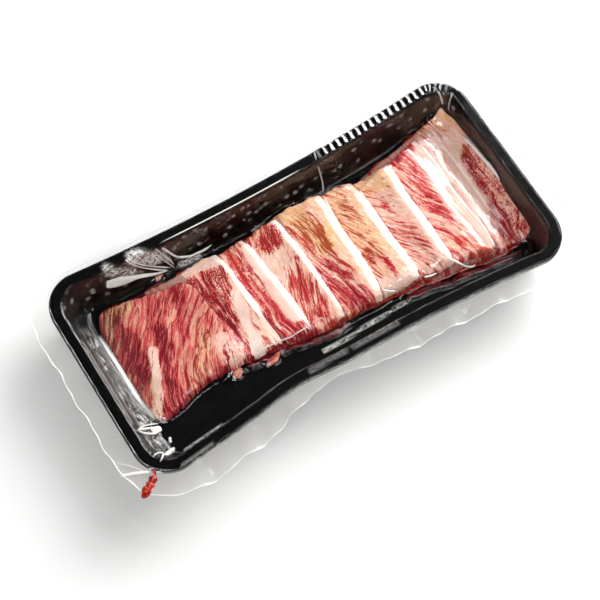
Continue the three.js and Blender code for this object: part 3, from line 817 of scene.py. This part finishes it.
def raise_by_scrap(centre, size):
    x, y, z = centre
    distance = np.hypot((GX - x) / (size[0] + 0.4), (GY - y) / (size[1] + 0.4))
    top = z + (size[2] + 0.3) * np.sqrt(np.maximum(0, 1 - distance ** 2))
    np.maximum(surface, np.where(distance < 1, top, 0), out=surface)


for line, width in DARK_LINES + RED_LINES:
    raise_by_juice(line, width)
for centre, size, _ in SCRAPS:
    raise_by_scrap(centre, size)


# The tray

# The ribs pressed into the flange along the far side's right part, round the corner.
RIB_PITCH, RIB_HEIGHT = 4.15, 1.1


def ribs(x, y, depth):
    """How far the flange rises at a rib: a block whose top leans a little towards +X."""
    far = smooth(x, 30, 50) * smooth(y, 40, 50)
    phase = np.mod(x + (WIDTH / 2 - y) * smooth(x, 106, 112), RIB_PITCH) / RIB_PITCH
    shape = (1 - 1.55 * phase) * smooth(phase, 0, 0.08) * (1 - smooth(phase, 0.56, 0.62))
    return RIB_HEIGHT * shape * far * smooth(depth, 0.4, 0.9) * (1 - smooth(depth, 5.8, 6.3))


# Places round the loop, closer together where the ribs are.
ALONG_X = np.concatenate([
    np.arange(-1, 0.24, 0.0082),
    np.linspace(0.24, 0.93, 200),
    np.linspace(0.937, 1, 11),
])
ALONG_Y = np.linspace(-1, 1, 79)
nx, ny = len(ALONG_X) - 1, len(ALONG_Y) - 1
PLACES = square_loop(ALONG_X, ALONG_Y)
COUNT = len(PLACES)

# The tray's section as depth and height: its inner face and flange, then its under side.
INNER_SECTION = [
    (13.2, FLOOR), (12.4, 1.7), (11.6, 2.0), (11.0, 2.6), (10.5, 3.4), (10.1, 4.6), (9.2, 9.9), (8.2, 15.9),
    (7.2, 21.8), (6.95, 22.9), (6.6, 23.6), (6.2, 23.92), (5.6, 24.0), (5, 24.0), (4.4, 24.0), (3.8, 24.0),
    (3.2, 24.0), (2.4, 24.0), (1.6, 24.0), (0.9, 23.9), (0.3, 23.6), (0, 23.1), (0, 21.2), (0.15, 21.0),
]
UNDER_SECTION = [
    (0.75, 21.0), (0.9, 21.2), (0.9, 22.7), (1.5, 22.9), (5.2, 22.9), (6.0, 22.2), (9.2, 3.2), (9.6, 1.6),
    (10.4, 0.5), (11.4, 0.0),
]


def ring_stack(section, with_ribs):
    """Rings of points at a section's depths and heights."""
    rows = []
    for depth, z in section:
        plan, _ = ring(PLACES, depth)
        height = np.full(COUNT, z)
        if with_ribs and z > HEIGHT - 1.2:
            height += ribs(plan[:, 0], plan[:, 1], depth)
        rows.append(np.column_stack([plan, height]))
    return rows


def make_tray():
    rows = ring_stack(INNER_SECTION, True) + ring_stack(UNDER_SECTION, False)
    points = np.concatenate(rows + [[[0, 0, FLOOR]], [[0, 0, 0]]])
    faces = capped(loops_of(len(rows), COUNT), len(points) - 2, len(points) - 1)
    piece_of("tray_body", points, faces, BLACK, ["tray"])


make_tray()


# The film

def film_pull(x, y):
    """How hard the film is drawn down: on and beside the meat, on the bare tray, at the two ends."""
    past = np.full(x.shape, 99.0)
    for k, (length, right, *_) in enumerate(SLICES):
        left = PILE_LEFT if k == FIRST else SLICES[k - 1][1]
        low, high = slice_sides(k, np.clip(1 - (right - x) / length, 0, 1))
        off = np.maximum(np.maximum(low - y, y - high), np.maximum(left - x, x - right) * 0.7)
        past = np.minimum(past, off)
    pull = 0.32 - 0.1 * smooth(past, 0, 10)
    last_step = bump(x, 95, 6) * bump(y, 5, 40)
    pull = pull * (1 - last_step) + 0.03 * last_step
    ends = smooth(PILE_LEFT + 3 - x, 0, 6) + smooth(x - PILE_RIGHT + 2, 0, 4)
    return pull * (1 - ends) + 0.06 * ends


def hang_film():
    """The film's height map: hung coarsely first, then drawn on to the finer shapes."""
    pull = film_pull(GX, GY)
    ground = surface + FILM_GAP
    coarse = relax(ground[::COARSE, ::COARSE], pull[::COARSE, ::COARSE], 400)
    hung = sample(coarse, GX, GY, COARSE * CELL)
    film = relax(np.maximum(ground, hung - 0.05), pull / 4, 120)
    return np.maximum(soften(film, 2), surface + 0.15)


film_map = hang_film()

# How far inside the tray's edge each ring of the film lies, from the floor's edge to the seal.
FILM_RINGS = [
    12.8, 12.2, 11.6, 11.1, 10.7, 10.3, 9.9, 9.4, 8.9, 8.4, 7.9, 7.4, 7.0, 6.6, 6.2, 5.7, 5.2, 4.8, 4.3,
    3.0, 1.7, 1.2, 0.8,
]


def film_height(x, y):
    depth = inside(x, y)
    seal = HEIGHT + 0.28 + ribs(x, y, depth) - 0.4 * smooth(1.2 - depth, 0, 1)
    return np.where(depth < 6.4, seal, sample(film_map, x, y) + 0.15)


# Milky places, partly film whitening and partly painted glare: a line along each, its radius, how milky and
# how mottled it is.
HAZY = [
    ([(-117, 26, 20), (-117, 0, 20), (-117, -26, 20)], 0.8, 0.4, 0.2),
    ([(-111, 30, 9), (-111, 0, 9), (-112, -36, 9)], 6.5, 0.34, 1.0),
    ([(-106.3, 30, 3.5), (-106.2, 0, 3.5), (-105, -26, 3)], 0.9, 0.85, 0.1),
    ([(-109.2, 30, 6), (-109.1, 0, 6), (-108.4, -26, 6)], 0.6, 0.7, 0.3),
    ([(-72, 51.5, 22), (-66, 50.5, 19), (-62, 49.5, 15)], 4.5, 0.9, 1.0),
    ([(-87, 53, 22), (-81, 51, 17), (-76, 49.7, 14)], 3.2, 0.7, 1.0),
    ([(-58.5, 49.5, 17), (-55.5, 47.5, 9)], 1.5, 0.3, 0.2),
    ([(-50, 44.5, 3.5), (-40, 43.6, 3)], 1.8, 0.5, 1.0),
    ([(67, 48.5, 4), (85, 50, 4), (107, 49, 4)], 1.6, 0.5, 1.0),
    ([(-8, 41.5, 3), (15, 42.5, 3), (40, 42, 3), (60, 40, 4)], 1.0, 0.45, 1.0),
    ([(-12, -35.6, 2), (0, -36, 2), (18, -35, 2), (39, -34.5, 2)], 0.9, 0.5, 1.0),
    ([(-99, -45.2, 2), (-86, -44.2, 2), (-77, -43.4, 2)], 0.8, 0.35, 1.0),
    ([(-90, -57.6, 24), (-107, -59, 24)], 1.2, 0.12, 0.5),
    ([(-28, -49, 24.3), (-8, -48.9, 24.3)], 1.5, 0.1, 0.8),
    ([(-3, -49, 24.3), (22, -49.5, 24.3)], 1.5, 0.1, 0.8),
]


def film_marks(points):
    """How milky the film is at these points, partly as painted glare, and how mottled that is."""
    haze, mottle = np.zeros(len(points)), np.zeros(len(points))
    for path, radius, milky, patchy in HAZY:
        share = milky * (1 - smooth(line_distance(points, path), radius * 0.6, radius * 1.3))
        mottle = np.where(share > haze, patchy, mottle)
        haze = np.maximum(haze, share)
    return haze, mottle


def film_plan():
    """The film's points from above with their faces: a patch inside the first ring, then the rings."""
    boundary, _ = ring(PLACES, FILM_RINGS[0])
    corners = boundary[[0, nx, nx + ny, 2 * nx + ny]]
    near, right = boundary[:nx + 1], boundary[nx:nx + ny + 1]
    far = boundary[nx + ny:2 * nx + ny + 1][::-1]
    left = np.vstack([boundary[2 * nx + ny:], boundary[:1]])[::-1]
    s, t = np.meshgrid((ALONG_X + 1) / 2, (ALONG_Y + 1) / 2, indexing="ij")
    s, t = s[..., None], t[..., None]
    weights = ((1 - s) * (1 - t), s * (1 - t), s * t, (1 - s) * t)
    patch = near[:, None] * (1 - t) + far[:, None] * t + left[None] * (1 - s) + right[None] * s
    patch = patch - sum(corner * weight for corner, weight in zip(corners, weights))
    rows = [patch.reshape(-1, 2)] + [ring(PLACES, depth)[0] for depth in FILM_RINGS[1:]]
    loops = [loop + len(rows[0]) for loop in loops_of(len(rows) - 1, COUNT)]
    loops = [grid_loop(nx, ny)] + loops
    return np.concatenate(rows), np.concatenate([grid_faces(nx, ny), stack_faces(loops)]), loops[-1]


def make_film_over():
    plan, faces, edge = film_plan()
    x, y = plan.T
    lower = np.column_stack([plan, film_height(x, y)])
    points, faces = closed(lower, lower + [0, 0, FILM_THICK], faces, [edge])
    made = piece_of("film_over", points, faces, CLEAR, ["film_skin"])

    haze, mottle = film_marks(lower)
    depth = inside(x, y)
    on_meat = sample((surface > tray_map + 0.6).astype(float), x, y)
    left_end = (1 - smooth(x, PILE_LEFT - 3, PILE_LEFT + 1)) * smooth(depth, 6.6, 8) * (1 - on_meat)
    loose = np.interp(depth, [0, 6, 7, 11, 14], [0.1, 0.15, 0.8, 0.8, 0.25])
    loose = loose * (1 - on_meat) + 0.03 * on_meat + 0.4 * left_end
    far_wall = smooth(depth, 6.6, 7.4) * (1 - smooth(depth, 10, 11.5)) * smooth(y, 30, 45)
    fields = dict(haze=haze, mottle=mottle, loose=loose, spots=0.15 * far_wall,
                  crinkle=0.03 + 0.45 * left_end)
    for name, values in fields.items():
        attribute(made, name, np.tile(values, 2))


make_film_over()


def curve(path, per_step=6):
    """A smooth line through these points."""
    p = np.array(path, float)
    p = np.vstack([2 * p[0] - p[1], p, 2 * p[-1] - p[-2]])
    t = np.arange(per_step)[:, None] / per_step
    parts = []
    for a, b, c, d in zip(p, p[1:], p[2:], p[3:]):
        bent = (2 * a - 5 * b + 4 * c - d) * t ** 2 + (3 * b - a - 3 * c + d) * t ** 3
        parts.append(0.5 * (2 * b + (c - a) * t + bent))
    return np.vstack(parts + [p[-2:-1]])


def unit(vectors):
    return vectors / np.linalg.norm(vectors, axis=-1, keepdims=True)


class Bits:
    """Small closed bodies gathered into one mesh."""

    def __init__(self):
        self.points, self.faces, self.values, self.count = [], [], [], 0

    def add(self, points, faces, value=1.0):
        self.points.append(points)
        self.faces += [tuple(int(i) + self.count for i in face) for face in faces]
        self.values.append(np.full(len(points), value))
        self.count += len(points)

    def strand(self, path, width, height, value=1.0, up=(0, 0, 1), lumps=0.0, sides=8):
        """A tapered strand along a line, flat on its lower side."""
        line = curve(path)
        count = len(line)
        t = np.linspace(0, 1, count)
        taper = np.clip(np.minimum(t, 1 - t) * 7, 0.02, 1) ** 0.6
        taper = taper * (1 + lumps * noise(t * 60, t, 5, 91 + len(self.points)))
        taper = taper[:, None, None]
        along = np.gradient(line, axis=0)
        side = unit(np.cross(along, up))
        over = unit(np.cross(side, along))
        turn = np.arange(sides) * 2 * np.pi / sides
        across = (np.cos(turn) * width / 2)[:, None]
        rise = (np.maximum(np.sin(turn), -0.25) * height)[:, None]
        points = line[:, None] + side[:, None] * across * taper + over[:, None] * rise * taper
        loops = loops_of(count, sides)
        bands = np.roll(stack_faces(loops), 1, axis=1)
        faces = [*map(tuple, bands), tuple(loops[0]), tuple(loops[-1][::-1])]
        self.add(points.reshape(-1, 3), faces, value)

    def flap(self, outline, rise, value, up, thickness=0.2):
        """A thin puffed patch with this outline."""
        edge = curve(list(outline) + [outline[0]], 4)[:-1]
        up = unit(np.array(up, float))
        middle = edge.mean(0)
        rows = [middle + (edge - middle) * share + up * (thickness + rise * (1 - share ** 2))
                for share in (0.97, 0.8, 0.55, 0.28)]
        rows = [edge] + rows
        points = np.vstack(rows + [middle - up * thickness, middle + up * (thickness + rise)])
        faces = capped(loops_of(len(rows), len(edge)), len(points) - 2, len(points) - 1)
        self.add(points, faces, value)

    def lump(self, centre, size, turn, rough, seed):
        """A rounded uneven lump."""
        rings, sides = 10, 16
        a = np.linspace(0, np.pi, rings + 1)[1:-1]
        b = np.arange(sides) * 2 * np.pi / sides
        x, y = np.outer(np.sin(a), np.cos(b)), np.outer(np.sin(a), np.sin(b))
        z = np.repeat(np.cos(a)[:, None], sides, 1)
        points = np.vstack([np.stack([x, y, z], 2).reshape(-1, 3), [[0, 0, 1], [0, 0, -1]]])
        x, y, z = points.T
        uneven = 1 + rough * noise(x * 3 + z * 2, y * 3 - z, 2.0, seed)
        x, y, z = (points * uneven[:, None] * size).T
        c, s = math.cos(turn), math.sin(turn)
        points = np.column_stack([x * c - y * s, x * s + y * c, z]) + centre
        self.add(points, capped(loops_of(rings - 1, sides), len(points) - 2, len(points) - 1))

    def make(self, name, material, slot, **attributes):
        points = np.concatenate(self.points)
        made = piece_of(name, points, self.faces, material)
        for key, value in attributes.items():
            values = np.full(len(points), float(value)) if np.isscalar(value) else np.concatenate(value)
            attribute(made, key, values)
        return made


# Folds in the film: a line, the fold's width and height, how milky it is and which way it stands. Their
# milky white is partly painted glint.
UP, WALL_UP, LEFT_UP = (0, 0, 1), (0, -0.9, 0.45), (0.8, 0, 0.6)
NEAR_UP, CORNER_UP = (0, -0.5, 0.9), (-0.5, -0.7, 0.5)
FOLDS = [
    ([(-58.5, 51, 23.6), (-56, 49.2, 18.9), (-53.9, 48.2, 14.3), (-51.8, 47.2, 10.3), (-49.4, 46.4, 7.8),
      (-44.2, 45.3, 5.3), (-40.7, 45.1, 5), (-37.3, 44.8, 4.7), (-34.2, 44.8, 5), (-31.1, 45, 5.5)],
     1.3, 0.5, 0.9, WALL_UP),
    ([(-61, 51, 23.4), (-60.1, 49.9, 21.6), (-58.1, 48.9, 16.5), (-56.1, 47.8, 12), (-54.6, 46.7, 8.1),
      (-53.8, 45.4, 4.7)], 0.7, 0.5, 0.75, WALL_UP),
    ([(-61.5, 50.4, 22.9), (-60.7, 49.4, 18.4), (-58.9, 48.1, 12.7), (-56.5, 46.7, 7.8), (-54, 44.4, 3.2)],
     0.6, 0.4, 0.6, WALL_UP),
    ([(-63.6, 51.5, 23.9), (-62.8, 49.6, 19.1), (-61.8, 48.9, 15.7), (-60.7, 48.1, 12.3)],
     0.9, 0.5, 0.9, WALL_UP),
    ([(-76, 52.5, 24), (-75.1, 51.3, 23.5), (-72.6, 50.2, 19.2), (-69.3, 49.2, 15.1), (-65, 48, 10.9),
      (-60.1, 46.6, 7.1), (-55.7, 45.2, 4.1)], 0.8, 0.5, 0.9, WALL_UP),
    ([(-77, 52.5, 24), (-76.7, 51.4, 23.9), (-74.7, 50.4, 19.9), (-71.2, 49.2, 14.6), (-67.4, 48.1, 10.7),
      (-62.6, 46.6, 6.7), (-58, 45.1, 3.8)], 0.9, 0.5, 0.95, WALL_UP),
    ([(38, 56.5, 24.4), (37, 52.5, 24.3), (36.2, 50, 22), (36.6, 48.2, 17.1), (37.3, 46.2, 8.3),
      (36.9, 44.4, 3.6), (35.4, 42, 2.6)], 0.9, 0.6, 0.4, WALL_UP),
    ([(38.1, 56.7, 24.2), (44.7, 55.8, 24.2), (51, 55.9, 24.2)], 0.6, 0.4, 0.6, UP),
    ([(-42.9, -20.8, 9), (-38.3, -21.2, 9.3), (-34.3, -21.5, 9), (-28.1, -22, 8.8), (-23.9, -22.9, 9.4),
      (-20.4, -23.1, 10.6), (-16, -22.8, 10), (-11.5, -23.1, 10.3)], 0.7, 0.5, 0.4, NEAR_UP),
    ([(-11.5, -23.1, 10.3), (-8.3, -21.9, 10.6), (-5.2, -22.8, 11), (-4.8, -25.1, 10), (-6.8, -26.3, 8.5)],
     0.5, 0.4, 0.35, NEAR_UP),
    ([(67, -27, 11.5), (69.6, -30, 11), (72.5, -32.8, 8.6), (75.8, -35, 5.2), (79, -36, 3.6),
      (81, -35.6, 3.6)], 1.1, 0.8, 1.0, (0.4, -0.2, 0.9)),
    ([(52.4, -29.8, 9), (55.5, -30.9, 8.8), (59.3, -31.5, 9.3)], 1.0, 0.6, 0.8, NEAR_UP),
    ([(29.8, -24.8, 10.5), (32.1, -27.1, 9.7), (35.9, -28.8, 8.6)], 1.0, 0.6, 0.8, NEAR_UP),
    ([(68.3, 31.8, 10.2), (72.5, 33.5, 10.1), (75.2, 35.7, 9.6)], 1.4, 0.7, 0.9, UP),
    ([(113.6, 54.6, 24.3), (113.7, 50.6, 22.9), (114.1, 47.6, 16.4)], 0.9, 0.6, 0.6, CORNER_UP),
    ([(120, 47.6, 24.4), (117.5, 45.9, 24.1), (116.2, 45.2, 18.6), (115.6, 44.2, 14.5)],
     0.7, 0.5, 0.45, CORNER_UP),
    ([(123.8, 19.9, 24.4), (125, 20.9, 24.3), (124.8, 19.1, 24.3), (123.8, 18.2, 24.2)], 0.7, 0.5, 0.9, UP),
    ([(113.8, 28.6, 12.4), (114.3, 22.2, 14.2), (114.6, 15.1, 15.1), (114.8, 8.8, 15.8), (115.1, 2.6, 16.4),
      (115, -6, 16)], 1.7, 0.9, 1.0, (-0.4, 0, 0.9)),
    ([(-117.6, -47.7, 24.3), (-114.9, -45, 18.2), (-112.2, -43.5, 12.2), (-111.1, -44.3, 10.9),
      (-113.9, -49.7, 22.2), (-116, -51.8, 24.3)], 0.9, 0.6, 0.9, LEFT_UP),
    ([(-102.6, -35.3, 2.1), (-103.6, -37.1, 2.2), (-103.7, -38.3, 2.1)], 1.6, 1.0, 0.9, UP),
    ([(-116.8, -30.3, 20.5), (-114.8, -28.6, 14.6), (-110.7, -27.3, 7), (-106.5, -27.2, 3)],
     1.1, 0.7, 0.95, LEFT_UP),
    ([(-116.8, -30.9, 20.5), (-114.2, -30.8, 13.3), (-110.5, -30.4, 6.4), (-107.3, -30.6, 3)],
     1.2, 0.7, 0.95, LEFT_UP),
    ([(-115.1, -27.9, 15.6), (-110.7, -25.4, 7), (-106.9, -25.2, 3), (-104.1, -26.2, 2.4)],
     0.7, 0.5, 0.9, LEFT_UP),
    ([(-136, -47.3, 22.4), (-133.3, -48.4, 22.8), (-129.2, -50.2, 23.4), (-125.7, -52, 23.8),
      (-122.7, -53.6, 24.1)], 1.6, 0.5, 0.95, UP),
    ([(-136, -38.6, 22.4), (-133.6, -41.1, 22.8), (-129.4, -45.7, 23.5), (-126.3, -50.1, 23.8),
      (-122.9, -54, 24)], 0.6, 0.4, 0.4, UP),
]

# Flaps of film: an outline, how far it is puffed up, how milky it is and which way it stands. Their milky
# white is partly painted glare.
FLAPS = [
    ([(-89.7, 50.6, 15.6), (-82.6, 49.8, 14.1), (-76.5, 48.7, 11.1), (-69.7, 47.5, 8.1), (-64.6, 46.4, 5.7),
      (-57.7, 45, 3.6), (-62.4, 45.2, 3.5), (-67.6, 46.4, 5.3), (-72.9, 47.2, 6.7), (-78.6, 47.7, 7.2),
      (-84.2, 48.3, 7.6), (-90.8, 49.5, 10.3)], 0.8, 0.95, WALL_UP),
    ([(-109.4, -27.8, 5), (-106.5, -26.8, 3), (-104.4, -27.7, 2.4), (-104.5, -30.2, 2.4), (-107.3, -30.6, 3),
      (-109, -29.6, 4.6)], 0.6, 0.95, LEFT_UP),
    ([(-111.4, -45.3, 12.6), (-108.7, -42.7, 6.4), (-105.8, -41.1, 3), (-103.6, -41.3, 2.4),
      (-104.4, -43, 2.6), (-106.2, -43.9, 3.8), (-109.4, -45.9, 9.8)], 0.7, 0.9, LEFT_UP),
]


def rim_line(x0, x1, depth):
    """A line along the far side's rim at this depth inside the tray's edge."""
    x = np.linspace(x0, x1, 12)
    return np.column_stack([x, WIDTH / 2 - depth - bow(x, 1), np.full(12, HEIGHT + 0.2)])


def make_folds():
    bits = Bits()
    # Painted highlight: a milky white strand for the bright line along the far rim's inner edge.
    bits.strand(rim_line(-57, 26, 5.6), 0.7, 0.4, 0.9, (0, -0.5, 0.8))
    for path, width, height, milky, up in FOLDS:
        bits.strand(path, width, height, milky, up, lumps=0.25)
    for outline, rise, milky, up in FLAPS:
        bits.flap(outline, rise, milky, up)
    bits.make("film_folds", CLEAR, "film", haze=bits.values, mottle=0.1, loose=0.15, spots=0.0, crinkle=0.0)


make_folds()


def make_drip():
    """The drip that hangs from the film at the near left corner."""
    bits = Bits()
    bits.strand([(-121.2, -53, 24.3), (-120.9, -55.4, 24.2), (-122.3, -57, 23.8), (-123.6, -57.8, 23.5)],
                1.4, 0.8, lumps=0.5)
    bits.strand([(-121.8, -56.2, 23.8), (-123.4, -57.6, 23.5), (-124.9, -58.6, 23.3), (-126.7, -59.7, 23),
                 (-128.9, -60.7, 22.5), (-130.3, -61.9, 22.2)], 4.4, 1.6, lumps=0.3, sides=12)
    bits.lump((-129.2, -61.2, 22.5), (2.8, 2.0, 1.0), 0.6, 0.4, 5)
    bits.lump((-124.8, -58.4, 23.4), (2.8, 1.6, 1.3), 0.7, 0.4, 6)
    bits.make("juice_drip", RED_JUICE, "meat_red")


def make_juice(name, material, lines):
    """Juice along the pile's sides."""
    bits = Bits()
    for line, width in lines:
        bits.strand(line, width, JUICE_HEIGHT, lumps=0.55, sides=10)
    bits.make(name, material, "meat_red")


def make_scraps():
    bits = Bits()
    for k, (centre, size, turn) in enumerate(SCRAPS):
        bits.lump(centre, size, turn, 0.35, 30 + k)
    made = bits.make("meat_scraps", MEAT, "meat_pale", balance=0.0, warm=0.3, deep=0.3, dull=0.0, flush=0.5,
                     speckle=0.9, seam=9.0, pale=0.0, ripple=0.0)
    attribute(made, "grain", np.concatenate(bits.points) * 2)


make_drip()
make_juice("juice_dark", DARK_JUICE, DARK_LINES)
make_juice("juice_red", RED_JUICE, RED_LINES)
make_scraps()


# How far out each ring of the film's border lies, as a share of its width. Below 0 it is on the flange.
BORDER_RINGS = [-1, -0.2, 0.04, 0.1, 0.18, 0.27, 0.36, 0.45, 0.54, 0.63, 0.72, 0.81, 0.89, 0.95, 0.985, 1.0]
BORDER_EDGE = 0.97


def border_width(x, y, normal):
    near = 10.5 + 3.5 * bump(x, -85, 35) - 5.5 * bump(x, -18, 22)
    along_x = normal[:, 0] ** 2 * np.where(normal[:, 0] < 0, 11.0, 7.0)
    along_y = normal[:, 1] ** 2 * np.where(normal[:, 1] < 0, near, 1.6)
    return (along_x + along_y) * (1 + 0.07 * waves((x - y) / 24, 3) + 0.03 * noise(x, y, 6, 7))


def make_film_border():
    outline, normal = ring(PLACES, 0)
    x, y = outline.T
    width = border_width(x, y, normal)
    rows, hazes = [], []
    for share in BORDER_RINGS:
        loose, edge = share > 0, share > BORDER_EDGE
        past = max(share, 0) * width
        out = past if loose else np.full(COUNT, share * 0.9)
        wave = 0.9 * past * waves((x - y) / 24, 6) / 10.5 + 0.25 * past / 8 * noise(x, y, 5, 17)
        z = HEIGHT + 0.34 + wave - 0.17 * past - 0.3 * loose + 0.5 * edge
        rows.append(np.column_stack([outline + normal * out[:, None], z]))
        hazes.append(np.full(COUNT, 0.1 * loose + 0.6 * edge))
    lower = np.concatenate(rows)
    loops = loops_of(len(rows), COUNT)
    rims = [loops[-1], loops[0][::-1]]
    points, faces = closed(lower, lower + [0, 0, BORDER_THICK], stack_faces(loops), rims)
    made = piece_of("film_border", points, faces, CLEAR, ["film_skirt"])
    attribute(made, "haze", np.tile(np.concatenate(hazes), 2))
    for name, value in (("loose", 0.35), ("mottle", 0.0), ("spots", 0.0), ("crinkle", 0.0)):
        attribute(made, name, np.full(len(points), value))


make_film_border()


# Floor, lights and camera, in metres

# Each light's azimuth from +X and elevation in degrees, distance, width, height and radiance.
LIGHTS = {
    "window": (22, 28, 1.5, 1.2, 0.6, 18.0),
    "upper": (30, 47, 1.5, 1.2, 0.3, 3.2),
    "soft": (32, 52, 1.5, 1.2, 0.14, 1.0),
    "overhead": (-58, 58, 1.5, 0.35, 0.8, 2.5),
    "back": (75, 26, 1.8, 0.8, 0.4, 4.0),
    "fill": (222, 48, 2.0, 1.2, 1.0, 7.0),
}
WORLD_STRENGTH = 0.015

FLOOR_REACH = 4
VIEW_AZIMUTH, VIEW_ELEVATION = math.radians(-31.38), math.radians(65.77)
VIEW_DISTANCE, VIEW_TARGET = 0.96157, (-0.01264, -0.01329, 0.024)
SENSOR, LENS = 36, 114.0


def make_floor():
    n = Nodes("pale_floor")
    tone = n.ramp(n.noise(n.place(), 3.0, 2.0), 0.3, 0.7)
    colour = n.mix(tone, rgb(236, 236, 235), rgb(232, 232, 231))
    shader = n.add("BsdfPrincipled", Base_Color=colour, Roughness=0.7)
    r = FLOOR_REACH
    mesh = bpy.data.meshes.new("floor")
    mesh.from_pydata([(-r, -r, 0), (r, -r, 0), (r, r, 0), (-r, r, 0)], [], [(0, 1, 2, 3)])
    mesh.materials.append(n.finish(shader.outputs[0]))
    floor = bpy.data.objects.new("floor", mesh)
    bpy.context.scene.collection.objects.link(floor)


def add_light(name, azimuth, elevation, distance, width, height, radiance):
    """A soft panel that faces the pack."""
    az, el = math.radians(azimuth), math.radians(elevation)
    light = bpy.data.lights.new(name, "AREA")
    light.shape, light.size, light.size_y = "RECTANGLE", width, height
    light.energy = radiance * math.pi * width * height
    lamp = bpy.data.objects.new(name, light)
    level = distance * math.cos(el)
    lamp.location = (level * math.cos(az), level * math.sin(az), distance * math.sin(el))
    lamp.rotation_euler = (math.pi / 2 - el, 0, az + math.pi / 2)
    bpy.context.scene.collection.objects.link(lamp)


def make_lights():
    for name, values in LIGHTS.items():
        add_light(name, *values)
    world = bpy.data.worlds.new("studio")
    world.use_nodes = True
    background = world.node_tree.nodes["Background"]
    background.inputs["Color"].default_value = (1, 1, 1, 1)
    background.inputs["Strength"].default_value = WORLD_STRENGTH
    bpy.context.scene.world = world


def make_camera():
    camera = bpy.data.cameras.new("camera")
    camera.sensor_fit, camera.sensor_width, camera.lens = "HORIZONTAL", SENSOR, LENS
    camera.clip_end = 20
    view = bpy.data.objects.new("camera", camera)
    level = math.cos(VIEW_ELEVATION)
    back = (math.sin(VIEW_AZIMUTH) * level, -math.cos(VIEW_AZIMUTH) * level, math.sin(VIEW_ELEVATION))
    view.location = [t + VIEW_DISTANCE * b for t, b in zip(VIEW_TARGET, back)]
    view.rotation_euler = (math.pi / 2 - VIEW_ELEVATION, 0, VIEW_AZIMUTH)
    bpy.context.scene.collection.objects.link(view)
    bpy.context.scene.camera = view


make_floor()
make_lights()
make_camera()
bpy.context.scene.view_settings.view_transform = "Standard"
